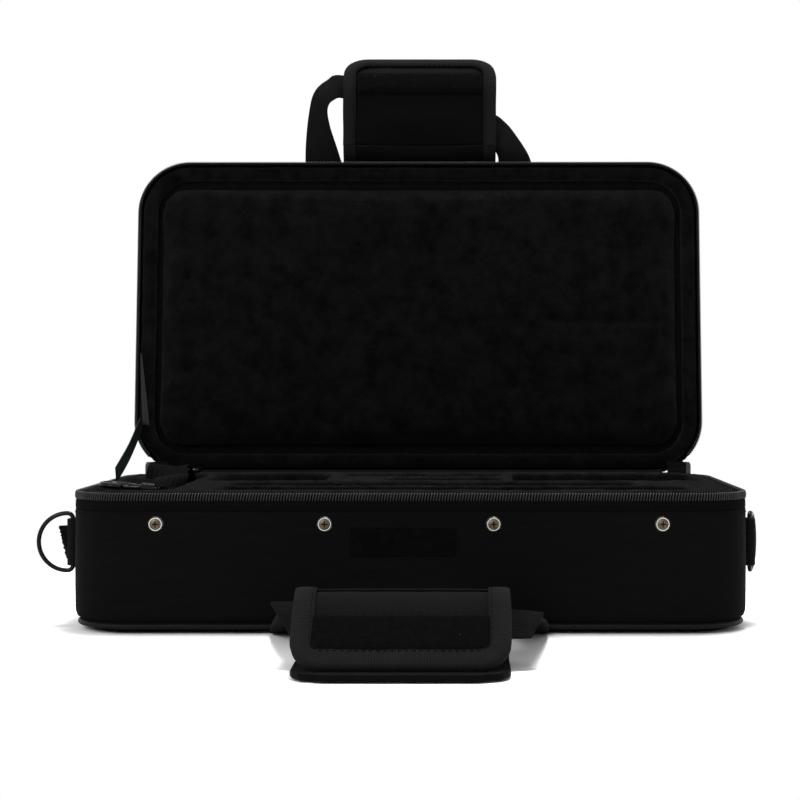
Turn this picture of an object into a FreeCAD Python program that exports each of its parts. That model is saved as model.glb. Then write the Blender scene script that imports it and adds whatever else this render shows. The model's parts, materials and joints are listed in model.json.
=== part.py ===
import FreeCAD, Part
import math
import os
import re
import Sketcher
from FreeCAD import Placement, Rotation, Vector

# A zippered, cloth covered clarinet case that stands open with its lid up.
# Millimetres. Origin at the centre of the flat bottom, +X right, -Y front, +Z up.
# Lid pieces are drawn as they lie on the closed case, then turned back about the hinge line.

os.makedirs("parts", exist_ok=True)
doc = FreeCAD.newDocument("clarinet_case")
sheet = doc.addObject("Spreadsheet::Sheet", "sizes")

SIZES = {
    # whole case
    "case_length": 360.0,
    "case_depth": 200.0,
    "corner_radius": 33.0,
    "parting_height": 73.85,
    "lid_rise": 29.15,
    "lid_open_angle": 96.0,
    "fit_gap": 0.1,
    "overrun": 20.0,
    # cloth covers
    "cloth_wall": 1.4,
    "bottom_round": 12.0,
    "lid_round": 10.0,
    "bead_radius": 1.5,
    "bead_inset": 2.8,
    "bead_height": 3.9,
    # zip
    "coil_gap": 0.3,
    "coil_height": 4.5,
    "coil_thickness": 2.5,
    "coil_proud": 0.3,
    "tape_height": 4.9,
    "tape_inset": 0.4,
    "tape_thickness": 1.0,
    "base_zip_end_inset": 23.2,
    "lid_zip_end_inset": 9.4,
    "zip_cut_inset": 15.0,
    "zip_stop_length": 2.0,
    "hinge_leaf_gap": 0.4,
    # frames and boards
    "frame_thickness": 6.5,
    "frame_edge_drop": 7.65,
    "frame_round": 6.0,
    "board_thickness": 5.0,
    "board_edge_inset": 7.8,
    "board_chamfer": 4.4,
    "lid_board_thickness": 2.6,
    "lid_board_inset": 8.5,
    "lid_board_chamfer": 2.0,
    # plush insert
    "lip_inset": 4.8,
    "lip_round": 4.5,
    "plush_rise": 0.95,
    "well_inset": 12.0,
    "well_width": 40.0,
    "well_end_inset": 14.0,
    "well_floor": 16.8,
    "well_round": 12.0,
    "lower_joint_radius": 19.0,
    "lower_joint_inset": 76.0,
    "lower_joint_length": 256.0,
    "lower_joint_setback": 37.0,
    "lower_joint_sink": 13.0,
    "upper_joint_radius": 17.5,
    "upper_joint_inset": 76.0,
    "upper_joint_length": 230.0,
    "upper_joint_setback": 77.5,
    "upper_joint_sink": 12.0,
    "bell_radius": 40.0,
    "bell_throat_radius": 23.0,
    "bell_inset": 12.0,
    "bell_length": 110.0,
    "bell_setback": 58.0,
    "bell_sink": 24.0,
    "barrel_radius": 17.5,
    "barrel_inset": 164.0,
    "barrel_length": 68.0,
    "barrel_setback": 78.5,
    "barrel_sink": 12.0,
    "mouthpiece_radius": 15.0,
    "mouthpiece_inset": 136.0,
    "mouthpiece_length": 96.0,
    "mouthpiece_setback": 38.0,
    "mouthpiece_sink": 10.0,
    "reed_well_inset": 58.0,
    "reed_well_length": 70.0,
    "reed_well_setback": 98.0,
    "reed_well_depth": 82.0,
    "reed_well_floor": 24.8,
    "reed_well_round": 10.0,
    # lid padding
    "roll_gap": 0.8,
    "roll_outer_inset": 2.6,
    "roll_width": 9.8,
    "roll_round": 2.8,
    "groove_width": 1.8,
    "panel_gap": 0.4,
    "panel_crown": 2.6,
    # front rail, screws, loop patch
    "rail_end_inset": 34.0,
    "rail_thickness": 7.0,
    "rail_height": 18.0,
    "screw_pitch": 88.0,
    "screw_drop": 16.35,
    "screw_length": 13.5,
    "screw_radius": 1.6,
    "screw_hole_clearance": 0.15,
    "screw_head_radius": 2.9,
    "screw_head_height": 1.25,
    "screw_crown": 0.45,
    "cup_radius": 4.1,
    "cup_lip_radius": 3.4,
    "cup_clearance": 0.12,
    "cross_length": 3.2,
    "cross_width": 0.65,
    "cross_depth": 0.9,
    "patch_x": -3.0,
    "patch_length": 55.0,
    "patch_width": 15.0,
    "patch_thickness": 1.2,
    "patch_drop": 25.85,
    "patch_round": 1.5,
    # carrying rings on the sides
    "ring_setback": 40.0,
    "ring_drop": 29.15,
    "ring_wire_radius": 1.2,
    "ring_span": 31.0,
    "ring_corner": 3.1,
    "ring_standoff": 3.5,
    "ring_clearance": 0.4,
    "tab_width": 25.4,
    "tab_length": 24.0,
    "tab_ply": 1.5,
    "ring_right_angle": 73.0,
    # handles
    "webbing_width": 25.0,
    "webbing_thickness": 1.6,
    "strap_centre": 62.5,
    "strap_heel": 0.7,
    "base_strap_centre": 60.0,
    "base_crest_inside": 49.8,
    "base_crest_outside": 64.0,
    "base_band_foot": 56.0,
    "base_axis_out": 1.2,
    "base_axis_height": 2.2,
    "base_leg_length": 103.0,
    "base_leg_slope": 15.5,
    "base_band_slope": 58.0,
    "base_band_width": 24.0,
    "anchor_clearance": 0.3,
    "anchor_top": 2.2,
    "anchor_reach": 8.0,
    "wrap_half_width": 49.4,
    "wrap_thickness": 4.0,
    "wrap_corner": 16.0,
    "wrap_split": 0.3,
    "binding_width": 10.5,
    "binding_corner": 8.0,
    "strip_half_width": 41.0,
    "strip_width": 20.0,
    "strip_thickness": 1.1,
    "strip_gap": 2.0,
    "base_fold_radius": 18.0,
    "base_fold_offset": 2.5,
    "base_leaf_length": 47.5,
    "base_flap_bend": 22.0,
    "base_flap_slope": 42.0,
    "base_flap_length": 33.4,
    "lid_axis_out": 1.4,
    "lid_axis_drop": 6.5,
    "lid_anchor_height": 9.5,
    "lid_anchor_gap": 1.15,
    "lid_fold_radius": 9.0,
    "lid_fold_height": 13.4,
    "lid_flap_straight": 33.0,
    "lid_flap_bend": 30.0,
    "lid_flap_turn": 55.0,
    "lid_back_length": 30.0,
    "lid_strap_rise": 60.0,
    # zip sliders and their pulls
    "slider_park_angle": 58.0,
    "slider_length": 13.0,
    "slider_height": 14.0,
    "slider_plate": 1.6,
    "slider_inner_plate": 1.3,
    "slider_gap": 0.3,
    "slider_lane_gap": 0.25,
    "slider_wedge": 3.5,
    "slider_round": 2.5,
    "pin_radius": 1.5,
    "pin_clearance": 0.1,
    "pin_head_radius": 2.5,
    "pin_head": 1.0,
    "pull_thickness": 1.6,
    "pull_gap": 0.35,
    "pull_width": 9.0,
    "pull_length": 26.0,
    "pull_hole_radius": 2.4,
    # lid stay ribbon
    "stay_inset": 4.4,
    "stay_thickness": 0.6,
    "stay_width": 10.0,
    "stay_base_y": 22.0,
    "stay_foot_rise": 2.15,
    "stay_lid_reach": 30.0,
    # shoulder strap and its hooks
    "hank_inset": 18.0,
    "hank_pitch": 5.0,
    "hank_half_run": 44.0,
    "hank_ply": 1.8,
    "hank_lift": 5.2,
    "hank_cover": 14.8,
    "hank_turns": 5.0,
    "fold_gap": 2.0,
    "fold_radius": 5.6,
    "fold_front": -6.0,
    "fold_start_angle": 20.0,
    "fold_swing": 80.0,
    "fold_inset": 16.0,
    "fold_width": 30.0,
    "hook_wire": 1.6,
    "hook_half_width": 7.0,
    "hook_reach": 21.2,
    "hook_lean": 40.0,
    "hook_nose_length": 4.2,
    "barrel_hook_radius": 3.4,
    "barrel_hook_length": 7.0,
    "post_radius": 1.3,
    "post_clearance": 0.08,
    "collar_radius": 2.2,
    "collar_thickness": 1.3,
    "eye_half_width": 10.0,
    "eye_depth": 8.0,
    "eye_wire": 2.34,
    "eye_round": 1.95,
    "gate_wire": 1.1,
    "gate_pivot_rise": 0.3,
    "gate_tip_gap": 0.9,
    "front_hook_inset": 42.0,
    "front_hook_setback": 32.0,
    "front_hook_drop": 0.25,
    "front_hook_tilt": 6.0,
    "rear_hook_inset": 21.7,
    "rear_hook_setback": 50.0,
    "rear_hook_drop": 1.45,
    "rear_hook_tilt": 12.0,
    "glide_length": 30.0,
    "glide_width": 24.0,
    "glide_thickness": 2.4,
    "glide_bar": 3.2,
    "glide_y": -22.0,
    "glide_gap": 0.3,
}

DERIVED = {
    "half_length": "=case_length / 2",
    "half_depth": "=case_depth / 2",
    "no_inset": "=0 * case_length",
    "floor_height": "=0 * case_length",
    "base_coil_top": "=parting_height - coil_gap / 2",
    "base_coil_bottom": "=base_coil_top - coil_height",
    "base_tape_bottom": "=base_coil_bottom - tape_height",
    "lid_coil_bottom": "=parting_height + coil_gap / 2",
    "lid_coil_top": "=lid_coil_bottom + coil_height",
    "lid_tape_top": "=lid_coil_top + tape_height",
    "coil_outer_inset": "=-coil_proud",
    "coil_inner_inset": "=coil_thickness - coil_proud",
    "tape_inner_inset": "=tape_inset + tape_thickness",
    "frame_outer_inset": "=cloth_wall + fit_gap",
    "frame_inner_inset": "=frame_outer_inset + frame_thickness",
    "insert_inset": "=frame_inner_inset + fit_gap",
    "board_top": "=cloth_wall + board_thickness",
    "frame_top": "=parting_height - frame_edge_drop",
    "plush_top": "=parting_height + plush_rise",
    "lid_top": "=parting_height + lid_rise",
    "lid_inner_top": "=lid_top - cloth_wall",
    "lid_board_bottom": "=lid_inner_top - lid_board_thickness",
    "lid_frame_bottom": "=parting_height + frame_edge_drop",
    "roll_bottom": "=plush_top + roll_gap",
    "roll_inner_inset": "=roll_outer_inset + roll_width",
    "panel_inset": "=roll_inner_inset + groove_width",
    "panel_face": "=plush_top + panel_gap",
    "hinge_leaf_top": "=base_coil_top - coil_gap",
    "lid_leaf_bottom": "=lid_coil_bottom + coil_gap",
    "inner_bottom_round": "=bottom_round - cloth_wall",
    "inner_lid_round": "=lid_round - cloth_wall",
    "rail_front": "=-(half_depth - insert_inset)",
    "rail_top": "=frame_top - fit_gap",
    "rail_length": "=case_length - 2 * rail_end_inset",
    "screw_height": "=parting_height - screw_drop",
    "patch_height": "=parting_height - patch_drop",
    "base_zip_end_x": "=half_length - base_zip_end_inset",
    "lid_zip_end_x": "=half_length - lid_zip_end_inset",
    "zip_cut_y": "=half_depth - zip_cut_inset",
    "well_left": "=half_length - well_inset",
    "well_right": "=well_left - well_width",
    "well_half_depth": "=half_depth - well_end_inset",
    "lower_joint_start": "=lower_joint_inset - half_length",
    "lower_joint_y": "=lower_joint_setback - half_depth",
    "upper_joint_start": "=upper_joint_inset - half_length",
    "upper_joint_y": "=upper_joint_setback - half_depth",
    "bell_start": "=half_length - bell_inset - bell_length",
    "bell_y": "=half_depth - bell_setback",
    "barrel_start": "=barrel_inset - half_length",
    "barrel_y": "=half_depth - barrel_setback",
    "mouthpiece_start": "=mouthpiece_inset - half_length",
    "mouthpiece_y": "=half_depth - mouthpiece_setback",
    "reed_well_start": "=reed_well_inset - half_length",
    "reed_well_y": "=half_depth - reed_well_setback",
    "bay_seam_x": "=(reed_well_start - well_right) / 2",
    "reed_seam_x": "=(reed_well_start + reed_well_length + mouthpiece_start) / 2",
    "bell_seam_x": "=(barrel_start + barrel_length + bell_start) / 2",
    "lower_seam_y": "=(lower_joint_y + lower_joint_radius + upper_joint_y - upper_joint_radius) / 2",
    "upper_seam_y": "=(upper_joint_y + upper_joint_radius + bell_y - bell_radius) / 2",
    "barrel_seam_y": "=(barrel_y + barrel_radius + mouthpiece_y - mouthpiece_radius) / 2",
    "ring_y": "=ring_setback - half_depth",
    "ring_height": "=parting_height - ring_drop",
    "lid_axis_height": "=lid_top - lid_axis_drop",
    "stay_base_height": "=parting_height + stay_foot_rise",
    "hank_left": "=half_length - hank_inset",
    "hank_floor": "=well_floor + hank_lift",
    "hank_width": "=plush_top - hank_cover - hank_floor",
    "hank_top": "=hank_floor + hank_width",
    "fold_height": "=hank_top + fold_gap",
    "fold_left": "=half_length - fold_inset",
    "glide_height": "=hank_top + glide_gap",
    "front_hook_x": "=front_hook_inset - half_length",
    "front_hook_y": "=front_hook_setback - half_depth",
    "front_hook_height": "=parting_height - front_hook_drop",
    "rear_hook_x": "=rear_hook_inset - half_length",
    "rear_hook_y": "=half_depth - rear_hook_setback",
    "rear_hook_height": "=parting_height - rear_hook_drop",
}

for row, (alias, content) in enumerate({**SIZES, **DERIVED}.items(), 1):
    sheet.set(f"A{row}", alias)
    sheet.set(f"B{row}", str(content))
    sheet.setAlias(f"B{row}", alias)
doc.recompute()


def size(alias):
    return float(sheet.get(alias))


def link(text):
    """Point each size named in a formula at its cell."""
    names = {**SIZES, **DERIVED}
    return re.sub(r"[a-z]\w*", lambda word: "sizes." * (word.group() in names) + word.group(), text)


def bind(item, **formulas):
    for path, text in formulas.items():
        item.setExpression(path.replace("__", "."), link(text))


def stand(item, x="0", y="0", z="0"):
    bind(item, Placement__Base__x=x, Placement__Base__y=y, Placement__Base__z=z)
    return item


def block(name, xs, ys, zs):
    """A box between two formulas on each axis."""
    box = doc.addObject("Part::Box", name)
    spans = [f"({high}) - ({low})" for low, high in (xs, ys, zs)]
    bind(box, Length=spans[0], Width=spans[1], Height=spans[2])
    return stand(box, xs[0], ys[0], zs[0])


def rod(name, radius, length, axis="z", x="0", y="0", z="0"):
    """A round rod that starts at a point and runs along one axis."""
    cylinder = doc.addObject("Part::Cylinder", name)
    bind(cylinder, Radius=radius, Height=length)
    turns = {"x": Rotation(Vector(0, 1, 0), 90), "y": Rotation(Vector(1, 0, 0), -90), "z": Rotation()}
    cylinder.Placement = Placement(Vector(), turns[axis])
    return stand(cylinder, x, y, z)


def fuse(name, items):
    joined = doc.addObject("Part::MultiFuse", name)
    joined.Shapes = items
    return joined


def group(name, items):
    together = doc.addObject("Part::Compound", name)
    together.Links = items
    return together


def cut(name, base, tool):
    result = doc.addObject("Part::Cut", name)
    result.Base = base
    result.Tool = tool
    return result


def common(name, base, tool):
    result = doc.addObject("Part::Common", name)
    result.Base = base
    result.Tool = tool
    return result


def rounded(name, item, radius, chosen):
    """Round the edges of a solid that a test on the edge picks out."""
    doc.recompute()
    result = doc.addObject("Part::Fillet", name)
    result.Base = item
    result.Edges = [(i, radius, radius) for i, edge in enumerate(item.Shape.Edges, 1) if chosen(edge)]
    return result


def along(axis):
    """A test for straight edges that run along one axis, 0 to 2."""
    def test(edge):
        run = edge.Vertexes[-1].Point - edge.Vertexes[0].Point
        return run.Length > 0 and abs(abs(run[axis]) - run.Length) < 1e-6
    return test


def new_body(name):
    body = doc.addObject("PartDesign::Body", name)
    body.Label = name
    return body


def new_sketch(body, name, role, offset="0"):
    sketch = body.newObject("Sketcher::SketchObject", name)
    plane = next(item for item in body.Origin.OriginFeatures if item.Role == role)
    sketch.AttachmentSupport = [(plane, "")]
    sketch.MapMode = "FlatFace"
    bind(sketch, AttachmentOffset__Base__z=offset)
    return sketch


def case_outline(sketch, inset):
    """Add the plan outline of the case, drawn in by an inset and held by five dimensions."""
    half_x = size("half_length") - size(inset)
    half_y = size("half_depth") - size(inset)
    radius = size("corner_radius") - size(inset)
    first = sketch.GeometryCount
    corners = [(half_x, -half_y), (half_x, half_y), (-half_x, half_y), (-half_x, -half_y)]
    for turn, (x, y) in enumerate(corners):
        centre = Vector(x - math.copysign(radius, x), y - math.copysign(radius, y))
        start = math.radians(90 * turn - 90)
        ahead = Vector(math.cos(start), math.sin(start))
        before = corners[turn - 1]
        back = Vector(before[0] - math.copysign(radius, before[0]),
                      before[1] - math.copysign(radius, before[1]))
        sketch.addGeometry(Part.LineSegment(back + ahead * radius, centre + ahead * radius), False)
        circle = Part.Circle(centre, Vector(0, 0, 1), radius)
        sketch.addGeometry(Part.ArcOfCircle(circle, start, start + math.pi / 2), False)
    rule = Sketcher.Constraint
    for turn in range(4):
        line = first + 2 * turn
        sketch.addConstraint(rule("Tangent", line, 2, line + 1, 1))
        sketch.addConstraint(rule("Tangent", line + 1, 2, first + (2 * turn + 2) % 8, 1))
        sketch.addConstraint(rule("Vertical" if turn % 2 else "Horizontal", line))
        if turn:
            sketch.addConstraint(rule("Equal", first + 1, line + 1))
    limits = {
        "front": (rule("DistanceY", first, 1, -1, 1, half_y), "half_depth"),
        "right": (rule("DistanceX", -1, 1, first + 2, 1, half_x), "half_length"),
        "back": (rule("DistanceY", -1, 1, first + 4, 1, half_y), "half_depth"),
        "left": (rule("DistanceX", first + 6, 1, -1, 1, half_x), "half_length"),
        "radius": (rule("Radius", first + 1, radius), "corner_radius"),
    }
    for side, (limit, whole) in limits.items():
        name = f"{side}_{inset}"
        sketch.renameConstraint(sketch.addConstraint(limit), name)
        sketch.setExpression("Constraints." + name, link(f"{whole} - {inset}"))


def pad(body, insets, low, high, name):
    """Raise the case outline, or the band between two insets, from one height to another."""
    sketch = new_sketch(body, name + "_outline", "XY_Plane", low)
    for inset in insets:
        case_outline(sketch, inset)
    feature = body.newObject("PartDesign::Pad", name + "_pad")
    feature.Profile = sketch
    bind(feature, Length=f"{high} - {low}")
    doc.recompute()
    return feature


def pocket(body, inset, top, depth, name):
    """Sink the drawn-in outline down from a height."""
    sketch = new_sketch(body, name + "_outline", "XY_Plane", top)
    case_outline(sketch, inset)
    feature = body.newObject("PartDesign::Pocket", name + "_pocket")
    feature.Profile = sketch
    before = body.Shape.Volume
    bind(feature, Length=depth)
    doc.recompute()
    if body.Shape.Volume > before - 1:
        raise RuntimeError(name + " cuts nothing")
    return feature


def inset_of(point):
    """How far a point lies inside the plan outline of the case."""
    across = size("half_length") - size("corner_radius")
    down = size("half_depth") - size("corner_radius")
    x, y = abs(point.x) - across, abs(point.y) - down
    if x > 0 and y > 0:
        return size("corner_radius") - math.hypot(x, y)
    return size("corner_radius") - max(x, y)


def edge_loop(shape, inset, height):
    """Names of the edges that follow the outline at one inset and one height."""
    names = []
    for index, edge in enumerate(shape.Edges, 1):
        middle = edge.valueAt((edge.FirstParameter + edge.LastParameter) / 2)
        if abs(middle.z - size(height)) < 1e-4 and abs(inset_of(middle) - size(inset)) < 1e-3:
            names.append(f"Edge{index}")
    return names


def dress(body, feature, kind, inset, height, amount):
    """Fillet or chamfer one edge loop of a body."""
    result = body.newObject("PartDesign::" + kind, f"{body.Name}_{kind}_{height}")
    result.Base = (feature, edge_loop(feature.Shape, inset, height))
    bind(result, **{"Radius" if kind == "Fillet" else "Size": amount})
    doc.recompute()
    return result


def band(name, outer, inner, low, high):
    """A ring of the case outline between two insets and two heights."""
    body = new_body(name)
    return body, pad(body, (outer, inner), low, high, name)


def pipe(name, radius, draw_path, profile_role, profile_centre, path_role="XY_Plane", path_offset="0",
         profile_offset="0"):
    """A round wire swept along a closed or open path sketch."""
    body = new_body(name)
    path = new_sketch(body, name + "_path", path_role, path_offset)
    draw_path(path)
    section = new_sketch(body, name + "_section", profile_role, profile_offset)
    section.addGeometry(Part.Circle(profile_centre, Vector(0, 0, 1), size(radius)), False)
    section.renameConstraint(section.addConstraint(Sketcher.Constraint("Radius", 0, size(radius))), "wire")
    section.setExpression("Constraints.wire", link(radius))
    sweep = body.newObject("PartDesign::AdditivePipe", name + "_sweep")
    doc.recompute()
    sweep.Profile = section
    sweep.Spine = (path, [])
    doc.recompute()
    return body


def draw(sketch, edges):
    """Lay lines and arcs end to end in a sketch, each joined to the last where their ends meet."""
    for index, edge in enumerate(edges):
        sketch.addGeometry(edge, False)
        if index:
            pairs = [(sketch.getPoint(index - 1, end).distanceToPoint(sketch.getPoint(index, start)),
                      end, start)
                     for end in (1, 2) for start in (1, 2)]
            _, end, start = min(pairs)
            sketch.addConstraint(Sketcher.Constraint("Coincident", index - 1, end, index, start))


def trail(start, heading, steps):
    """Lines and arcs end to end: a step is a length, or a radius and a turn in degrees."""
    point, angle, edges = start, math.radians(heading), []
    for step in steps:
        ahead = Vector(math.cos(angle), math.sin(angle))
        if not isinstance(step, tuple):
            edges.append(Part.LineSegment(point, point + ahead * step))
            point = point + ahead * step
            continue
        radius, turn = step[0], math.radians(step[1])
        side = Vector(-ahead.y, ahead.x) * math.copysign(radius, turn)
        centre = point + side
        half = Rotation(Vector(0, 0, 1), math.degrees(turn) / 2)
        middle = centre + half.multVec(-side)
        end = centre + half.multVec(half.multVec(-side))
        edges.append(Part.Arc(point, middle, end))
        point, angle = end, angle + turn
    return edges


SIDE_VIEW = Rotation(Vector(1, 1, 1), 120)
PLAN_VIEW = Rotation()


def strip(name, edges, thickness, view, place, low, high):
    """A bent sheet: a path in a side or plan view, thickened to its left and drawn out across it."""
    path = doc.addObject("Sketcher::SketchObject", name + "_path")
    path.Placement = Placement(place, view)
    draw(path, edges)
    doc.recompute()
    thick = doc.addObject("Part::Offset2D", name + "_thick")
    thick.Source = path
    thick.Mode = "Skin"
    thick.Join = "Intersection"
    thick.Fill = True
    bind(thick, Value=thickness)
    sheet_solid = doc.addObject("Part::Extrusion", name)
    sheet_solid.Base = thick
    sheet_solid.DirMode = "Custom"
    sheet_solid.Dir = view.multVec(Vector(0, 0, 1))
    sheet_solid.Solid = True
    bind(sheet_solid, LengthFwd=high, LengthRev=f"-({low})")
    doc.recompute()
    return sheet_solid


LID_TURN = Rotation(Vector(1, 0, 0), -size("lid_open_angle"))
HINGE = Vector(0, size("half_depth"), size("parting_height"))
OPENED = Placement(Vector(), LID_TURN, HINGE)


def open_up(item):
    """Turn a piece of the closed lid back about the hinge line."""
    item.Placement = OPENED.multiply(item.Placement)
    return item


finished = []


def keep(item, name):
    item.Label = name
    finished.append(item)
    return item


# Screws, their cup washers and the holes they need, four in a row on the front

def outward(item, x, out):
    """Stand a turned piece on the front face, pointing to the front."""
    item.Placement = Placement(Vector(), Rotation(Vector(1, 0, 0), 90))
    return stand(item, x, f"-half_depth - ({out})", "screw_height")


def cone(name, low, high, length, x, out):
    item = doc.addObject("Part::Cone", name)
    bind(item, Radius1=low, Radius2=high, Height=length)
    return outward(item, x, out)


def peg(name, radius, length, x, out):
    item = doc.addObject("Part::Cylinder", name)
    bind(item, Radius=radius, Height=length)
    return outward(item, x, out)


def front_fastenings():
    screws, cups, holes = [], [], []
    hole_radius = "screw_radius + screw_hole_clearance"
    for number in range(4):
        x = f"{number - 1.5} * screw_pitch"
        tag = f"_{number + 1}"
        shank = peg("shank" + tag, "screw_radius", "screw_length", x, "-screw_length")
        head = cone("head" + tag, "screw_radius", "screw_head_radius", "screw_head_height", x, "0")
        crown = cone("crown" + tag, "screw_head_radius", "screw_radius", "screw_crown", x,
                     "screw_head_height")
        slots = []
        for turn, (wide, tall) in enumerate((("cross_length", "cross_width"),
                                             ("cross_width", "cross_length"))):
            slots.append(block(f"slot{tag}_{turn}", (f"{x} - {wide} / 2", f"{x} + {wide} / 2"),
                               ("-half_depth - screw_head_height - screw_crown - fit_gap",
                                "-half_depth - screw_head_height - screw_crown + cross_depth"),
                               (f"screw_height - {tall} / 2", f"screw_height + {tall} / 2")))
        whole = fuse("screw_blank" + tag, [shank, head, crown])
        screws.append(cut("screw" + tag, whole, fuse("cross" + tag, slots)))
        rim = cone("cup_rim" + tag, "cup_radius", "cup_lip_radius", "screw_head_height", x, "0")
        seat = cone("cup_seat" + tag, "screw_radius + cup_clearance", "screw_head_radius + cup_clearance",
                    "screw_head_height", x, "0")
        cups.append(cut("cup" + tag, rim, seat))
        holes.append(peg("screw_hole" + tag, hole_radius, "screw_length + overrun", x,
                         "-screw_length - fit_gap"))
    keep(group("front_screws", screws), "front_screws")
    keep(group("cup_washers", cups), "cup_washers")
    return group("screw_holes", holes)


screw_holes = front_fastenings()


# Lower shell: cloth cover, wooden frame and board, beaded bottom seam

def lower_shell():
    cover = new_body("base_cover_tub")
    pad(cover, ("no_inset",), "floor_height", "base_tape_bottom", "base_cover")
    hollow = pocket(cover, "cloth_wall", "base_tape_bottom", "base_tape_bottom - cloth_wall",
                    "base_cover_inside")
    bent = dress(cover, hollow, "Fillet", "no_inset", "floor_height", "bottom_round")
    dress(cover, bent, "Fillet", "cloth_wall", "cloth_wall", "inner_bottom_round")
    keep(cut("base_cover", cover, screw_holes), "base_cover")
    frame, ring = band("base_frame_ring", "frame_outer_inset", "frame_inner_inset", "board_top", "frame_top")
    dress(frame, ring, "Fillet", "frame_outer_inset", "board_top", "frame_round")
    keep(cut("base_frame", frame, screw_holes), "base_frame")
    board = new_body("base_board")
    slab = pad(board, ("board_edge_inset",), "cloth_wall", "board_top", "base_board")
    dress(board, slab, "Chamfer", "board_edge_inset", "cloth_wall", "board_chamfer")
    keep(board, "base_board")
    bead = pipe("base_bead", "bead_radius", lambda path: case_outline(path, "bead_inset"), "YZ_Plane",
                Vector(size("bead_inset") - size("half_depth"), size("bead_height")),
                path_offset="bead_height")
    keep(cut("base_piping", bead, cover), "base_piping")


lower_shell()


# Zip halves: a band of tape and a band of coil on each shell, open across the back

def zip_half(prefix, tape_low, tape_high, coil_low, coil_high, opened):
    reach = (f"-{prefix}_zip_end_x", f"{prefix}_zip_end_x")
    for part, outer, inner, low, high in (("tape", "tape_inset", "tape_inner_inset", tape_low, tape_high),
                                          ("coil", "coil_outer_inset", "coil_inner_inset", coil_low,
                                           coil_high)):
        name = f"{prefix}_zip_{part}"
        ring, _ = band(name + "_ring", outer, inner, low, high)
        behind = block(name + "_back", reach, ("zip_cut_y", "half_depth + overrun"),
                       (f"{low} - overrun", f"{high} + overrun"))
        open_piece = keep(cut(name, ring, behind), name)
        if opened:
            open_up(open_piece)


zip_half("base", "base_tape_bottom", "base_coil_bottom", "base_coil_bottom", "base_coil_top", False)
zip_half("lid", "lid_coil_top", "lid_tape_top", "lid_coil_bottom", "lid_coil_top", True)


def zip_stops():
    """A metal clip on each end of the lower coil, cut to the coil's own curve."""
    ring, _ = band("zip_stop_ring", "coil_outer_inset", "coil_inner_inset", "base_coil_bottom",
                   "base_coil_top")
    places = []
    for side, word in ((-1, "left"), (1, "right")):
        ends = (f"{side} * base_zip_end_x", f"{side} * (base_zip_end_x - zip_stop_length)")
        places.append(block(f"zip_stop_{word}", ends if side < 0 else ends[::-1],
                            ("zip_cut_y", "half_depth + overrun"), ("base_coil_bottom", "base_coil_top")))
    keep(common("zip_stops", ring, fuse("zip_stop_places", places)), "zip_stops")


zip_stops()


# Cloth hinge: one leaf on each shell, round the back between the zip ends

def hinge_leaf(name, low, high, opened):
    ring, _ = band(name + "_ring", "tape_inset", "tape_inner_inset", low, high)
    reach = "(base_zip_end_x - zip_stop_length - hinge_leaf_gap)"
    behind = block(name + "_region", ("-" + reach, reach), ("zip_cut_y", "half_depth + overrun"),
                   (f"{low} - overrun", f"{high} + overrun"))
    leaf = keep(common(name, ring, behind), name)
    if opened:
        open_up(leaf)


hinge_leaf("base_hinge_leaf", "base_tape_bottom", "hinge_leaf_top", False)
hinge_leaf("lid_hinge_leaf", "lid_leaf_bottom", "lid_tape_top", True)


# Plush insert, one fitted bed for each piece of the instrument, and the rail the screws bite in

def trough(name, prefix):
    """A round-bottomed recess along X, straight-sided above its axis."""
    x, y = f"{prefix}_start", f"{prefix}_y"
    axis_height = f"plush_top - {prefix}_sink"
    bottom = rod(name + "_round", f"{prefix}_radius", f"{prefix}_length", "x", x, y, axis_height)
    mouth = block(name + "_mouth", (x, f"{x} + {prefix}_length"),
                  (f"{y} - {prefix}_radius", f"{y} + {prefix}_radius"), (axis_height, "plush_top + overrun"))
    return fuse(name + "_recess", [bottom, mouth])


def bell_recess():
    bell = doc.addObject("Part::Cone", "bell_round")
    bind(bell, Radius1="bell_throat_radius", Radius2="bell_radius", Height="bell_length")
    bell.Placement = Placement(Vector(), Rotation(Vector(0, 1, 0), 90))
    stand(bell, "bell_start", "bell_y", "plush_top - bell_sink")
    mouth = block("bell_mouth", ("bell_start", "bell_start + bell_length"),
                  ("bell_y - bell_radius", "bell_y + bell_radius"),
                  ("plush_top - bell_sink", "plush_top + overrun"))
    return fuse("bell_recess", [bell, mouth])


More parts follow.
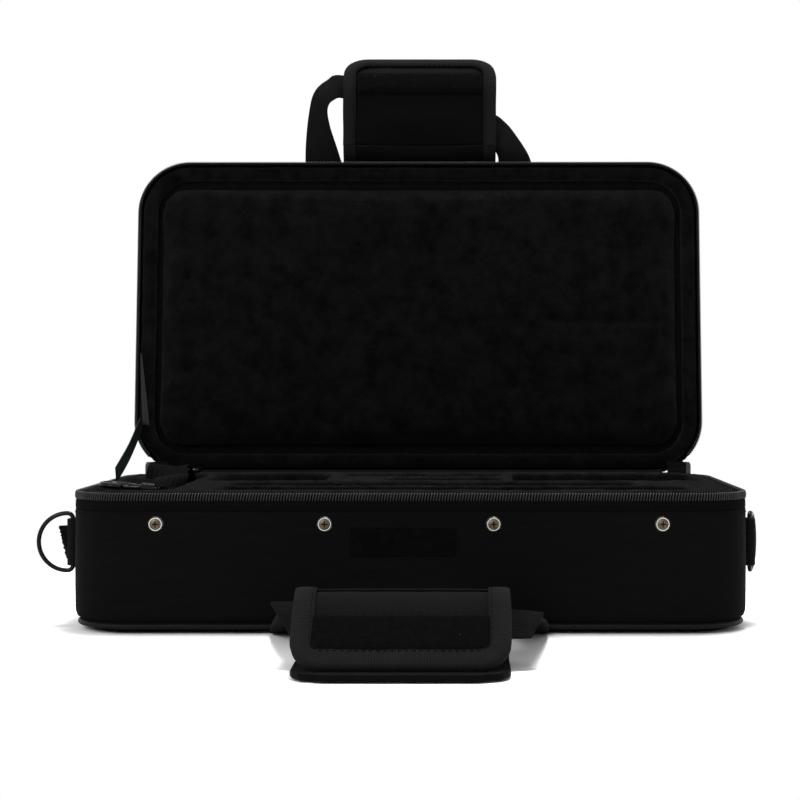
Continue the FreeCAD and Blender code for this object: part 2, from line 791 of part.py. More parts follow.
def plush_insert():
    body = new_body("insert_block")
    pad(body, ("insert_inset",), "board_top", "frame_top", "insert_lower")
    top = pad(body, ("lip_inset",), "frame_top", "plush_top", "insert_lip")
    dress(body, top, "Fillet", "lip_inset", "plush_top", "lip_round")
    well = rounded("accessory_well", block("accessory_box", ("-well_left", "-well_right"),
                                           ("-well_half_depth", "well_half_depth"),
                                           ("well_floor", "plush_top + overrun")), size("well_round"),
                   along(2))
    reeds = rounded("reed_well", block("reed_box", ("reed_well_start", "reed_well_start + reed_well_length"),
                                       ("reed_well_y", "reed_well_y + reed_well_depth"),
                                       ("reed_well_floor", "plush_top + overrun")), size("reed_well_round"),
                    along(2))
    rail_slot = block("rail_slot", ("-rail_length / 2 - fit_gap", "rail_length / 2 + fit_gap"),
                      ("rail_front - overrun", "rail_front + rail_thickness + fit_gap"),
                      ("rail_top - rail_height - fit_gap", "rail_top"))
    troughs = [trough(name, name) for name in ("lower_joint", "upper_joint", "barrel", "mouthpiece")]
    recesses = fuse("insert_recesses", [well, reeds, rail_slot, bell_recess()] + troughs)
    whole = cut("insert_whole", body, recesses)
    front, left, right, rear = "-half_depth", "-half_length", "half_length", "half_depth"
    beds = {
        "plush_strap_bay": ((left, "bay_seam_x"), (front, rear)),
        "plush_lower_joint_bed": (("bay_seam_x", right), (front, "lower_seam_y")),
        "plush_upper_joint_bed": (("bay_seam_x", right), ("lower_seam_y", "upper_seam_y")),
        "plush_reed_bay": (("bay_seam_x", "reed_seam_x"), ("upper_seam_y", rear)),
        "plush_barrel_bed": (("reed_seam_x", "bell_seam_x"), ("upper_seam_y", "barrel_seam_y")),
        "plush_mouthpiece_bed": (("reed_seam_x", "bell_seam_x"), ("barrel_seam_y", rear)),
        "plush_bell_bed": (("bell_seam_x", right), ("upper_seam_y", rear)),
    }
    for name, (xs, ys) in beds.items():
        region = block(name + "_region", xs, ys, ("floor_height", "plush_top + overrun"))
        keep(common(name, whole, region), name)
    rail = block("rail_blank", ("-rail_length / 2", "rail_length / 2"),
                 ("rail_front", "rail_front + rail_thickness"),
                 ("rail_top - rail_height", "rail_top - fit_gap"))
    keep(cut("front_rail", rail, screw_holes), "front_rail")


plush_insert()

patch = block("patch_blank", ("patch_x - patch_length / 2", "patch_x + patch_length / 2"),
              ("-half_depth - patch_thickness", "-half_depth"),
              ("patch_height - patch_width / 2", "patch_height + patch_width / 2"))
keep(rounded("front_loop_patch", patch, size("patch_round"), along(1)), "front_loop_patch")


# Lid: cloth cover, frame, board, foam, rim roll, crowned plush panel

def lid_shell():
    cover = new_body("lid_cover_outside")
    outer = pad(cover, ("no_inset",), "lid_tape_top", "lid_top", "lid_cover")
    bent = dress(cover, outer, "Fillet", "no_inset", "lid_top", "lid_round")
    inner = new_body("lid_cover_core")
    core = pad(inner, ("cloth_wall",), "parting_height", "lid_inner_top", "lid_core")
    dress(inner, core, "Fillet", "cloth_wall", "lid_inner_top", "inner_lid_round")
    open_up(keep(cut("lid_cover", cover, inner), "lid_cover"))
    frame, ring = band("lid_frame", "frame_outer_inset", "frame_inner_inset", "lid_frame_bottom",
                       "lid_board_bottom")
    dress(frame, ring, "Fillet", "frame_outer_inset", "lid_board_bottom", "frame_round")
    open_up(keep(frame, "lid_frame"))
    board = new_body("lid_board")
    slab = pad(board, ("lid_board_inset",), "lid_board_bottom", "lid_inner_top", "lid_board")
    dress(board, slab, "Chamfer", "lid_board_inset", "lid_inner_top", "lid_board_chamfer")
    open_up(keep(board, "lid_board"))
    foam = new_body("lid_foam")
    pad(foam, ("insert_inset",), "lid_frame_bottom", "lid_board_bottom", "lid_foam")
    open_up(keep(foam, "lid_foam"))
    roll, rim = band("lid_rim_roll", "roll_outer_inset", "roll_inner_inset", "roll_bottom",
                     "lid_frame_bottom")
    for inset in ("roll_outer_inset", "roll_inner_inset"):
        rim = dress(roll, rim, "Fillet", inset, "roll_bottom", "roll_round")
    open_up(keep(roll, "lid_rim_roll"))
    bead_height = size("lid_top") - size("bead_height")
    bead = pipe("lid_bead", "bead_radius", lambda path: case_outline(path, "bead_inset"), "YZ_Plane",
                Vector(size("bead_inset") - size("half_depth"), bead_height),
                path_offset="lid_top - bead_height")
    open_up(keep(cut("lid_piping", bead, cover), "lid_piping"))


lid_shell()


def lid_panel():
    """The padded plush panel: a crowned pillow lofted through ever smaller outlines."""
    level_shares = ((0.0, 0.0), (0.0, 0.45), (0.07, 0.8), (0.3, 0.94), (0.75, 1.0))
    depth = size("lid_frame_bottom") - size("panel_face")
    drawn_in = size("half_depth") - size("panel_inset")
    sections = []
    for spread, sink in level_shares:
        inset = size("panel_inset") + spread * drawn_in * size("panel_crown") / depth
        height = size("lid_frame_bottom") - sink * depth
        half_x, half_y = size("half_length") - inset, size("half_depth") - inset
        radius = max(size("corner_radius") - inset, size("roll_round"))
        sketch = Part.Wire(rounded_outline(half_x, half_y, radius, height))
        sections.append(sketch)
    panel = doc.addObject("Part::Feature", "lid_panel")
    panel.Shape = Part.makeLoft(sections, True, True)
    open_up(keep(panel, "lid_panel"))


def rounded_outline(half_x, half_y, radius, height):
    """Edges of a rounded rectangle about the centre at one height."""
    edges = []
    corners = [(half_x, -half_y), (half_x, half_y), (-half_x, half_y), (-half_x, -half_y)]
    for turn, (x, y) in enumerate(corners):
        centre = Vector(x - math.copysign(radius, x), y - math.copysign(radius, y), height)
        before = corners[turn - 1]
        back = Vector(before[0] - math.copysign(radius, before[0]),
                      before[1] - math.copysign(radius, before[1]),
                      height)
        ways = [Rotation(Vector(0, 0, 1), 90 * turn - 90 + lean).multVec(Vector(radius, 0, 0))
                for lean in (0, 45, 90)]
        edges.append(Part.makeLine(back + ways[0], centre + ways[0]))
        edges.append(Part.Arc(centre + ways[0], centre + ways[1], centre + ways[2]).toShape())
    return edges


lid_panel()


# Webbing tabs and wire rings on both sides

def outward_span(side, near, far):
    """A span measured outwards from a side wall, as its lower and upper X."""
    pair = (f"{side} * (half_length + {near})", f"{side} * (half_length + {far})")
    return pair if side > 0 else pair[::-1]


def ring_loop(side):
    """The closed centre line of a ring, in plan of the ring, its bar on the vertical axis."""
    half = size("ring_span") / 2
    corner = size("ring_corner")
    start = Vector(0, corner - half)
    edges = trail(start, 90, [size("ring_span") - 2 * corner, (corner, 90), (half, 180), (corner, 90)])
    if side > 0:
        edges = trail(start, 90,
                      [size("ring_span") - 2 * corner, (corner, -90), (half, -180), (corner, -90)])
    return edges


def carrying_ring(side, word, turn):
    bar_x = side * (size("half_length") + size("ring_standoff"))
    ring = pipe("d_ring_" + word, "ring_wire_radius", lambda path: draw(path, ring_loop(side)), "XY_Plane",
                Vector(),
                path_role="XZ_Plane")
    ring.Placement = Placement(Vector(bar_x, size("ring_y"), size("ring_height")),
                               Rotation(Vector(0, 0, 1), turn))
    keep(ring, "d_ring_" + word)
    low, high = "ring_height - tab_width / 2", "ring_height + tab_width / 2"
    plies = block(f"tab_plies_{word}", outward_span(side, "0", "ring_standoff"),
                  ("ring_y", "ring_y + tab_length"), (low, high))
    centre = {"x": f"{side} * (half_length + ring_standoff)", "y": "ring_y", "z": low}
    eye = rod(f"tab_eye_{word}", "ring_wire_radius + ring_clearance + tab_ply", "tab_width", **centre)
    bore = rod(f"tab_bore_{word}", "ring_wire_radius + ring_clearance", "tab_width + overrun", **centre)
    stand(bore, centre["x"], centre["y"], low + " - overrun / 2")
    keep(cut("d_ring_tab_" + word, fuse(f"tab_blank_{word}", [plies, eye]), bore), "d_ring_tab_" + word)


carrying_ring(-1, "left", 0)
carrying_ring(1, "right", size("ring_right_angle"))


# Carrying handle of the lower shell, lying on the table in front of it

BASE_AXIS = Vector(0, -size("half_depth") - size("base_axis_out"), size("base_axis_height"))


def base_anchors():
    """Strap ends sewn into the bottom seam: wedges under the rounded bottom edge."""
    wedges = []
    roll = rod("bottom_edge_round", "bottom_round", "case_length", "x", "-half_length",
               "-half_depth + bottom_round",
               "bottom_round")
    for side, word in ((-1, "left"), (1, "right")):
        x = f"{side} * base_strap_centre"
        blank = block("anchor_" + word, (f"{x} - webbing_width / 2", f"{x} + webbing_width / 2"),
                      ("-half_depth + anchor_clearance / 3", "-half_depth + anchor_reach"),
                      ("anchor_clearance", "anchor_top"))
        wedges.append(cut("anchor_wedge_" + word, blank, roll))
    keep(group("base_handle_anchors", wedges), "base_handle_anchors")


def plank(name, wide, long, thick, place):
    """A flat length of webbing, drawn from its near edge towards the front."""
    item = doc.addObject("Part::Box", name)
    bind(item, Length=wide, Width=long, Height=thick)
    item.Placement = place
    return item


def tapered(name, front, back, span, place):
    """A flat band of webbing whose sides run from one X span at its front to another at its back."""
    item = doc.addObject("Part::Wedge", name)
    bind(item, Xmin=front[0], Xmax=front[1], X2min=back[0], X2max=back[1], Ymin=span[0], Ymax=span[1],
         Zmin="-webbing_thickness / 2", Z2min="-webbing_thickness / 2", Zmax="webbing_thickness / 2",
         Z2max="webbing_thickness / 2")
    item.Placement = place
    return item


def base_handle():
    slope = Rotation(Vector(1, 0, 0), -size("base_leg_slope"))
    crest_span = ("base_crest_inside", "base_crest_outside")
    seam_span = ("base_strap_centre - webbing_width / 2", "base_strap_centre + webbing_width / 2")
    legs = []
    for side, word in ((-1, "left"), (1, "right")):
        spans = [[f"{side} * ({end})" for end in span][::side] for span in (crest_span, seam_span)]
        legs.append(tapered("base_leg_" + word, *spans, ("-base_leg_length", "strap_heel"),
                            Placement(BASE_AXIS, slope)))
    crest = BASE_AXIS + slope.multVec(Vector(0, -size("base_leg_length"), 0))
    fall = Rotation(Vector(1, 0, 0), size("base_band_slope"))
    cross = tapered("base_cross_band", ("-base_band_foot", "base_band_foot"),
                    ("-base_crest_outside", "base_crest_outside"),
                    ("-base_band_width", "webbing_thickness / 2"),
                    Placement(crest, fall))
    keep(fuse("base_handle_webbing", legs + [cross]), "base_handle_webbing")
    centre_y = crest.y - size("base_fold_offset")
    fold, leaf = size("base_fold_radius"), size("base_leaf_length")
    front = centre_y - leaf
    plan = wrap_plan("base", ("-wrap_half_width", "wrap_half_width"), (f"{front}", f"{centre_y + fold * 2}"),
                     ("-overrun", f"{fold * 2} + overrun"))
    under = strip("base_leaf_sheet", trail(Vector(front, 0), 0, [leaf, (fold, 180)]), "-wrap_thickness",
                  SIDE_VIEW,
                  Vector(), "-wrap_half_width", "wrap_half_width")
    keep(common("base_wrap_leaf", under, plan["outline"]), "base_wrap_leaf")
    top = Vector(centre_y - size("wrap_split"), 2 * fold)
    route = [(size("base_flap_bend"), size("base_flap_slope")), size("base_flap_length")]
    over = strip("base_flap_sheet", trail(top, 180, route), "-wrap_thickness", SIDE_VIEW, Vector(),
                 "-wrap_half_width", "wrap_half_width")
    flap_end = centre_y - size("base_flap_bend") * math.sin(math.radians(size("base_flap_slope"))) \
        - size("base_flap_length") * math.cos(math.radians(size("base_flap_slope"))) - size("wrap_split")
    core = rounded("base_flap_core", block("base_flap_core_box",
                                           ("-wrap_half_width + binding_width",
                                            "wrap_half_width - binding_width"),
                                           (f"{flap_end} + binding_width", f"{centre_y + fold}"),
                                           ("-overrun", f"{fold * 2} + overrun")),
                   size("binding_corner"),
                   lambda edge: along(2)(edge) and edge.Vertexes[0].Y < flap_end + fold)
    shaped = common("base_flap_shaped", over, plan["outline"])
    keep(common("base_wrap_flap", shaped, core), "base_wrap_flap")
    keep(cut("base_flap_binding", shaped, core), "base_flap_binding")
    slope_run = Vector(-math.cos(math.radians(size("base_flap_slope"))),
                       -math.sin(math.radians(size("base_flap_slope"))))
    edge_point = trail(top, 180, route)[-1].EndPoint
    begin = edge_point - slope_run * size("binding_width")
    tilt = Rotation(Vector(1, 0, 0), size("base_flap_slope"))
    place = Placement(Vector(-size("strip_half_width"), begin.x, begin.y), tilt)
    keep(plank("base_loop_strip", "2 * strip_half_width", "strip_width", "strip_thickness", place),
         "base_loop_strip")


def wrap_plan(word, xs, ys, zs):
    """The outline that rounds the free corners of a wrap seen from above."""
    box = block(f"{word}_wrap_box", xs, ys, zs)
    near = float(ys[0])
    outline = rounded(f"{word}_wrap_outline", box, size("wrap_corner"),
                      lambda edge: along(2)(edge) and abs(edge.Vertexes[0].Y - near) < 1e-6)
    return {"outline": outline}


base_anchors()
base_handle()


# Carrying handle of the lid, standing up behind the lid's top edge

LID_AXIS = OPENED.multVec(Vector(0, -size("half_depth") - size("lid_axis_out"), size("lid_axis_height")))


def lid_anchors():
    tabs = []
    top = "lid_axis_height - lid_anchor_gap"
    for side, word in ((-1, "left"), (1, "right")):
        x = f"{side} * strap_centre"
        tabs.append(block("lid_anchor_" + word, (f"{x} - webbing_width / 2", f"{x} + webbing_width / 2"),
                          ("-half_depth - webbing_thickness", "-half_depth"),
                          (f"{top} - lid_anchor_height", top)))
    open_up(keep(group("lid_handle_anchors", tabs), "lid_handle_anchors"))


def lid_webbing():
    """One strap seen from the front: up on the left, slantwise through the wrap, down on the right."""
    outline_shares = (
        (-1.2, -0.01), (-1.18, 0.3), (-1.14, 0.6), (-1.08, 0.8), (-0.95, 0.93), (-0.78, 0.98), (0.3, 0.72),
        (0.8, 0.56), (0.96, 0.44), (1.05, 0.27), (1.2, -0.01), (0.8, -0.01), (0.8, 0.24), (0.72, 0.34),
        (0.2, 0.52), (-0.78, 0.76), (-0.92, 0.72), (-0.98, 0.6), (-0.94, 0.42), (-0.82, 0.2), (-0.8, -0.01),
    )
    span, rise, heel = size("strap_centre"), size("lid_strap_rise"), size("strap_heel")
    half = size("webbing_thickness") / 2
    points = [Vector(x * span, half, max(z * rise, -heel)) for x, z in outline_shares]
    webbing = doc.addObject("Part::Feature", "lid_handle_webbing")
    face = Part.Face(Part.makePolygon(points + points[:1]))
    webbing.Shape = face.extrude(Vector(0, -2 * half, 0))
    webbing.Placement = Placement(LID_AXIS, Rotation())
    keep(webbing, "lid_handle_webbing")


def lid_wrap():
    fold, rise = size("lid_fold_radius"), size("lid_fold_height")
    route = [size("lid_flap_straight"), (size("lid_flap_bend"), -size("lid_flap_turn"))]
    start = Vector(-fold, rise)
    turn = math.radians(size("lid_flap_turn"))
    top = rise + size("lid_flap_straight") + size("lid_flap_bend") * math.sin(turn)
    front = strip("lid_flap_sheet", trail(start, 90, route), "wrap_thickness", SIDE_VIEW, Vector(),
                  "-wrap_half_width", "wrap_half_width")
    back_route = [(fold, 180), size("lid_back_length")]
    back = strip("lid_leaf_sheet", trail(Vector(-fold, rise - size("wrap_split")), 270, back_route),
                 "-wrap_thickness", SIDE_VIEW, Vector(), "-wrap_half_width", "wrap_half_width")
    deep = (f"-{4 * fold}", f"{4 * fold}")
    outline = rounded("lid_wrap_outline",
                      block("lid_wrap_box", ("-wrap_half_width", "wrap_half_width"), deep,
                            ("-overrun", f"{top}")), size("wrap_corner"),
                      lambda edge: along(1)(edge) and edge.Vertexes[0].Z > rise)
    core = rounded("lid_flap_core", block("lid_flap_core_box",
                                          ("-wrap_half_width + binding_width",
                                           "wrap_half_width - binding_width"),
                                          deep,
                                          ("-overrun", f"{top} - binding_width * cos(lid_flap_turn / 2)")),
                   size("binding_corner"), lambda edge: along(1)(edge) and edge.Vertexes[0].Z > rise)
    shaped = common("lid_flap_shaped", front, outline)
    lift = Placement(LID_AXIS, Rotation())
    begin = start + Vector(-size("fit_gap"), size("lid_flap_straight") - size("strip_gap"))
    bend = size("lid_flap_bend") + size("fit_gap")
    sweep = math.degrees((size("strip_width") - size("strip_gap")) / bend)
    hooks = strip("lid_hook_strip", trail(begin, 90, [size("strip_gap"), (bend, -sweep)]),
                  "-strip_thickness", SIDE_VIEW, Vector(), "-strip_half_width", "strip_half_width")
    for item, name in ((back, "lid_wrap_leaf"), (common("lid_wrap_flap", shaped, core), "lid_wrap_flap"),
                       (cut("lid_flap_binding", shaped, core), "lid_flap_binding"),
                       (hooks, "lid_hook_strip")):
        item.Placement = lift
        keep(item, name)


lid_anchors()
lid_webbing()
lid_wrap()


# Zip sliders parked on the rear corners, each with a pull that swings on a rivet

def slider(side, word):
    """Drawn along +X from the centre of a rear corner, then turned to where it is parked."""
    face = "corner_radius + coil_proud + slider_gap"
    far = face + " + slider_plate"
    rear_face = "corner_radius - lip_inset + slider_lane_gap"
    rear_far = rear_face + " + slider_inner_plate"
    ys = ("-slider_length / 2", "slider_length / 2")
    zs = ("parting_height - slider_height / 2", "parting_height + slider_height / 2")
    front = ("-slider_length / 2", "-slider_length / 2 + slider_wedge")
    if side < 0:
        front = ("slider_length / 2 - slider_wedge", "slider_length / 2")
    outer = rounded(f"slider_face_{word}", block(f"slider_face_box_{word}", (face, far), ys, zs),
                    size("slider_round"), along(0))
    inner = block(f"slider_back_{word}", (rear_face, rear_far), ys, zs)
    wedge = block(f"slider_wedge_{word}", (rear_far, face), front, ("base_coil_top + slider_gap", zs[1]))
    reach = "pull_thickness + 2 * pull_gap"
    pin = rod(f"slider_pin_{word}", "pin_radius", reach + " + pin_head", "x", far, "0", "parting_height")
    head = rod(f"slider_pin_head_{word}", "pin_head_radius", "pin_head", "x", f"{far} + {reach}", "0",
               "parting_height")
    body = fuse(f"slider_body_{word}", [outer, inner, wedge, pin, head])
    near = far + " + pull_gap"
    foot_height = "parting_height - pull_length + pull_width / 2"
    blade = block(f"pull_blade_{word}", (near, near + " + pull_thickness"),
                  ("-pull_width / 2", "pull_width / 2"),
                  (foot_height, "parting_height"))
    ends = [rod(f"pull_{end}_{word}", "pull_width / 2", "pull_thickness", "x", near, "0", height)
            for end, height in (("top", "parting_height"), ("foot", foot_height))]
    eye = rod(f"pull_eye_{word}", "pin_radius + pin_clearance", "pull_thickness", "x", near, "0",
              "parting_height")
    hole = rod(f"pull_hole_{word}", "pull_hole_radius", "pull_thickness", "x", near, "0", foot_height)
    pull = cut(f"pull_body_{word}", fuse(f"pull_blank_{word}", [blade] + ends),
               fuse(f"pull_openings_{word}", [eye, hole]))
    park = size("slider_park_angle")
    turn = Rotation(Vector(0, 0, 1), park if side > 0 else 180 - park)
    for item, name in ((body, "zip_slider_" + word), (pull, "zip_pull_" + word)):
        item.Placement = Placement(Vector(), turn)
        keep(stand(item, f"{side} * (half_length - corner_radius)", "half_depth - corner_radius"), name)


slider(-1, "left")
slider(1, "right")


# Ribbon that keeps the lid from falling back, from the lower rim to the lid's rim

def lid_stay():
    x = -(size("half_length") - size("stay_inset"))
    low = Vector(x, size("stay_base_y"), size("stay_base_height"))
    high = OPENED.multVec(Vector(x, size("half_depth") - size("stay_lid_reach"), size("parting_height")))
    run = high - low
    rise = math.degrees(math.atan2(run.z, run.y))
    stay = doc.addObject("Part::Box", "lid_stay")
    stay.Length = size("stay_thickness")
    stay.Width = run.Length
    stay.Height = size("stay_width")
    start = Placement(low, Rotation(Vector(1, 0, 0), rise))
    stay.Placement = start.multiply(Placement(Vector(-size("stay_thickness"), 0, -size("stay_width") / 2),
                                              Rotation()))
    keep(stay, "lid_stay")


lid_stay()


# Shoulder strap, folded up in the left well, with a swivel hook at each end

def strap_hank():
    """Webbing folded back and forth on edge, and a wavy top layer of looser folds."""
    radius = (size("hank_pitch") + size("hank_ply")) / 2
    run = 2 * size("hank_half_run")
    steps = [run]
    for turn in range(int(size("hank_turns"))):
        steps += [(radius, 180 if turn % 2 else -180), run]
    start = Vector(-size("hank_left"), -size("hank_half_run"))
    lower = strip("hank_runs", trail(start, 90, steps), "hank_ply", PLAN_VIEW,
                  Vector(0, 0, size("hank_floor")),
                  "0", "hank_width")
    bend, swing = size("fold_radius"), size("fold_swing")
    waves = [(bend, turn) for turn in (-swing, 2 * swing, -2 * swing, 2 * swing, -swing)]
    route = trail(Vector(size("fold_front"), size("fold_height")), size("fold_start_angle"), waves)
    upper = strip("hank_folds", route, "hank_ply", SIDE_VIEW, Vector(), "-fold_left",
                  "-fold_left + fold_width")
    keep(group("strap_webbing", [lower, upper]), "strap_webbing")
    ladder = block("glide_plate", ("-fold_left", "-fold_left + glide_length"),
                   ("glide_y - glide_width / 2", "glide_y + glide_width / 2"),
                   ("glide_height", "glide_height + glide_thickness"))
    slots = []
    for number, half in enumerate((("glide_y - glide_width / 2 + glide_bar", "glide_y - glide_bar / 2"),
                                   ("glide_y + glide_bar / 2", "glide_y + glide_width / 2 - glide_bar"))):
        slots.append(block(f"glide_slot_{number}",
                           ("-fold_left + glide_bar", "-fold_left + glide_length - glide_bar"),
                           half, ("glide_height - overrun", "glide_height + overrun")))
    frame = rounded("glide_frame", ladder, size("glide_bar") / 2, along(2))
    keep(cut("strap_glide", frame, fuse("glide_slots", slots)), "strap_glide")


def snap_hook(word, place):
    """A swivel hook along local +X: barrel, bent wire nose and sprung gate, with its webbing eye behind."""
    wire, half = size("hook_wire"), size("hook_half_width")
    barrel_length = size("barrel_hook_length")
    nose_start = Vector(barrel_length - wire, wire / 2 - size("barrel_hook_radius"))
    lean = size("hook_lean")
    drop = half - size("barrel_hook_radius") + wire / 2
    bend = drop / (2 * (1 - math.cos(math.radians(lean))))
    shank_end = nose_start.x + 2 * bend * math.sin(math.radians(lean))
    straight = size("hook_reach") - shank_end
    back = size("hook_nose_length")
    route = [(bend, -lean), (bend, lean), straight, (half, 180), back]
    body = new_body(f"hook_wire_{word}")
    path = new_sketch(body, f"hook_path_{word}", "XY_Plane")
    draw(path, trail(nose_start, 0, route))
    section = new_sketch(body, f"hook_section_{word}", "YZ_Plane", f"{nose_start.x}")
    section.addGeometry(Part.Circle(Vector(nose_start.y, 0), Vector(0, 0, 1), wire), False)
    section.renameConstraint(section.addConstraint(Sketcher.Constraint("Radius", 0, wire)), "wire")
    section.setExpression("Constraints.wire", link("hook_wire"))
    doc.recompute()
    sweep = body.newObject("PartDesign::AdditivePipe", f"hook_sweep_{word}")
    sweep.Profile = section
    sweep.Spine = (path, [])
    barrel = rod(f"hook_barrel_{word}", "barrel_hook_radius", "barrel_hook_length", "x")
    bore = rod(f"hook_bore_{word}", "post_radius + post_clearance", "barrel_hook_length + overrun", "x",
               "-overrun / 2")
    room = rod(f"hook_collar_room_{word}", "collar_radius + post_clearance",
               "collar_thickness + 2 * post_clearance", "x", "barrel_hook_length")
    nose_end = size("hook_reach") - back
    hook = cut(f"hook_solid_{word}", fuse(f"hook_blank_{word}", [barrel, body]),
               fuse(f"hook_hollow_{word}", [bore, room]))
    gate_start = Vector(barrel_length + size("gate_wire") + size("slider_gap"),
                        size("barrel_hook_radius") - size("gate_pivot_rise"))
    gate_end = Vector(nose_end - size("gate_tip_gap"), half)
    run = gate_end - gate_start
    gate = doc.addObject("Part::Cylinder", f"gate_rod_{word}")
    bind(gate, Radius="gate_wire")
    gate.Height = run.Length
    tilt = Rotation(Vector(0, 0, 1), run)
    gate.Placement = Placement(gate_start, tilt)
    post = rod(f"eye_post_{word}", "post_radius", "barrel_hook_length + 3 * post_radius", "x",
               "-2 * post_radius")
    collar = rod(f"eye_collar_{word}", "collar_radius", "collar_thickness", "x",
                 "barrel_hook_length + post_clearance")
    bar = block(f"eye_frame_box_{word}", ("-eye_depth - post_radius", "-post_radius - post_clearance"),
                ("-eye_half_width", "eye_half_width"), ("-post_radius", "post_radius"))
    slot = block(f"eye_slot_{word}", ("-eye_depth + post_radius / 2", "-post_radius - eye_wire / 2"),
                 ("-eye_half_width + eye_wire", "eye_half_width - eye_wire"), ("-overrun", "overrun"))
    eye_frame = cut(f"eye_frame_{word}",
                    rounded(f"eye_frame_round_{word}", bar, size("eye_round"), along(2)), slot)
    eye = fuse(f"eye_solid_{word}", [eye_frame, post, collar])
    for item, name in ((hook, f"snap_hook_{word}"), (eye, f"hook_eye_{word}")):
        item.Placement = place
        keep(item, name)
    gate.Placement = place.multiply(gate.Placement)
    keep(gate, f"hook_gate_{word}")


strap_hank()
front_place = Placement(Vector(size("front_hook_x"), size("front_hook_y"), size("front_hook_height")),
                        Rotation(Vector(0, 1, 0),
                                 size("front_hook_tilt")).multiply(Rotation(Vector(0, 0, 1), 180)))
rear_place = Placement(Vector(size("rear_hook_x"), size("rear_hook_y"), size("rear_hook_height")),
                       Rotation(Vector(0, 1, 0), -size("rear_hook_tilt")))
snap_hook("front", front_place)
snap_hook("rear", rear_place)

doc.recompute()
failed = [item.Label for item in doc.Objects if {"Invalid", "Error"} & set(item.State)]
for item in finished:
    if item.Shape.isNull() or not item.Shape.isValid() or not item.Shape.Solids:
        failed.append(item.Label)
if failed:
    raise RuntimeError("failed: " + ", ".join(failed))
for item in finished:
    item.Shape.exportStep(os.path.join("parts", item.Label + ".step"))
print(len(finished), "parts written")
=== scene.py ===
"""A zippered clarinet case that stands open, dressed in nylon, plush, webbing and metal."""

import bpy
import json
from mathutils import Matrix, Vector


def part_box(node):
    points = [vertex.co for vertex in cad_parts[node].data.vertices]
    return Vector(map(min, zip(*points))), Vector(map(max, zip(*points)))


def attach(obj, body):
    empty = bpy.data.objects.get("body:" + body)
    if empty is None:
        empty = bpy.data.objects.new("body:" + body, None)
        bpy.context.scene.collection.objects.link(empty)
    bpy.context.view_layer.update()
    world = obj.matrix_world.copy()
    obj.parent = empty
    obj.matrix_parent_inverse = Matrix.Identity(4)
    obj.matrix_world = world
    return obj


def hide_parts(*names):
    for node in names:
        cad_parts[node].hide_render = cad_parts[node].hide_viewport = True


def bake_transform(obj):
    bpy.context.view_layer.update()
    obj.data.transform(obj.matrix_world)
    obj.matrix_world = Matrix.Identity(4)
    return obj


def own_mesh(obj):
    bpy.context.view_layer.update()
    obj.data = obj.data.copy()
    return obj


bl_info = {
    "name": "Clarinet case",
    "version": (1, 0, 0),
    "blender": (4, 5, 0),
    "location": "3D View > Sidebar > Case",
    "description": "Builds the cloth, plush, webbing and metal of a zippered clarinet case",
    "category": "Add Mesh",
}

import json
import math
import random
from bisect import bisect_left

import bpy
from mathutils import Matrix, Vector, noise

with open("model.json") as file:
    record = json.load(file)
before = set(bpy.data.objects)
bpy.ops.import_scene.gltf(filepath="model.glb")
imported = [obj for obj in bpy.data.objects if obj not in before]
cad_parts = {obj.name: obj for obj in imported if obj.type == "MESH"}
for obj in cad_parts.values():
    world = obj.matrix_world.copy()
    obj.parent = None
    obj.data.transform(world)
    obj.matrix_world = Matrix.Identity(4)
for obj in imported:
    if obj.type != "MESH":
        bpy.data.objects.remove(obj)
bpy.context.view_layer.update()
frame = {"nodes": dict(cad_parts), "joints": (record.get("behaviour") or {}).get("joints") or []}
MM = 0.001

COVER_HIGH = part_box("base_cover")[1]
WRAP_LOW, WRAP_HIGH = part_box("base_wrap_leaf")
JOINTS = {joint["name"]: joint for joint in frame["joints"]}
HINGE = Vector(JOINTS["lid_hinge"]["pos_m"])
OPEN_ANGLE = math.radians(-JOINTS["lid_hinge"]["range_deg"][0])
OPENED = Matrix.Translation(HINGE) @ Matrix.Rotation(-OPEN_ANGLE, 4, "X") @ Matrix.Translation(-HINGE)
BASE_SEAM = Vector(JOINTS["base_handle_swing"]["pos_m"])
BASE_FOLD = Vector(JOINTS["base_flap_fold"]["pos_m"])
LID_SEAM = Vector(JOINTS["lid_handle_swing"]["pos_m"])
LID_FOLD = Vector(JOINTS["lid_flap_fold"]["pos_m"])
FLAT_BORDER = 16 * MM
LEAF_COLUMNS = 36
SIDE_STEPS = 8


def length(name, description, default):
    return bpy.props.FloatProperty(name=name, description=description, default=default, unit="LENGTH",
                                   precision=4)


def colour(name, description, default):
    return bpy.props.FloatVectorProperty(name=name, description=description, default=default, min=0, max=1,
                                         subtype="COLOR", size=3)


def amount(name, description, default):
    return bpy.props.FloatProperty(name=name, description=description, default=default)


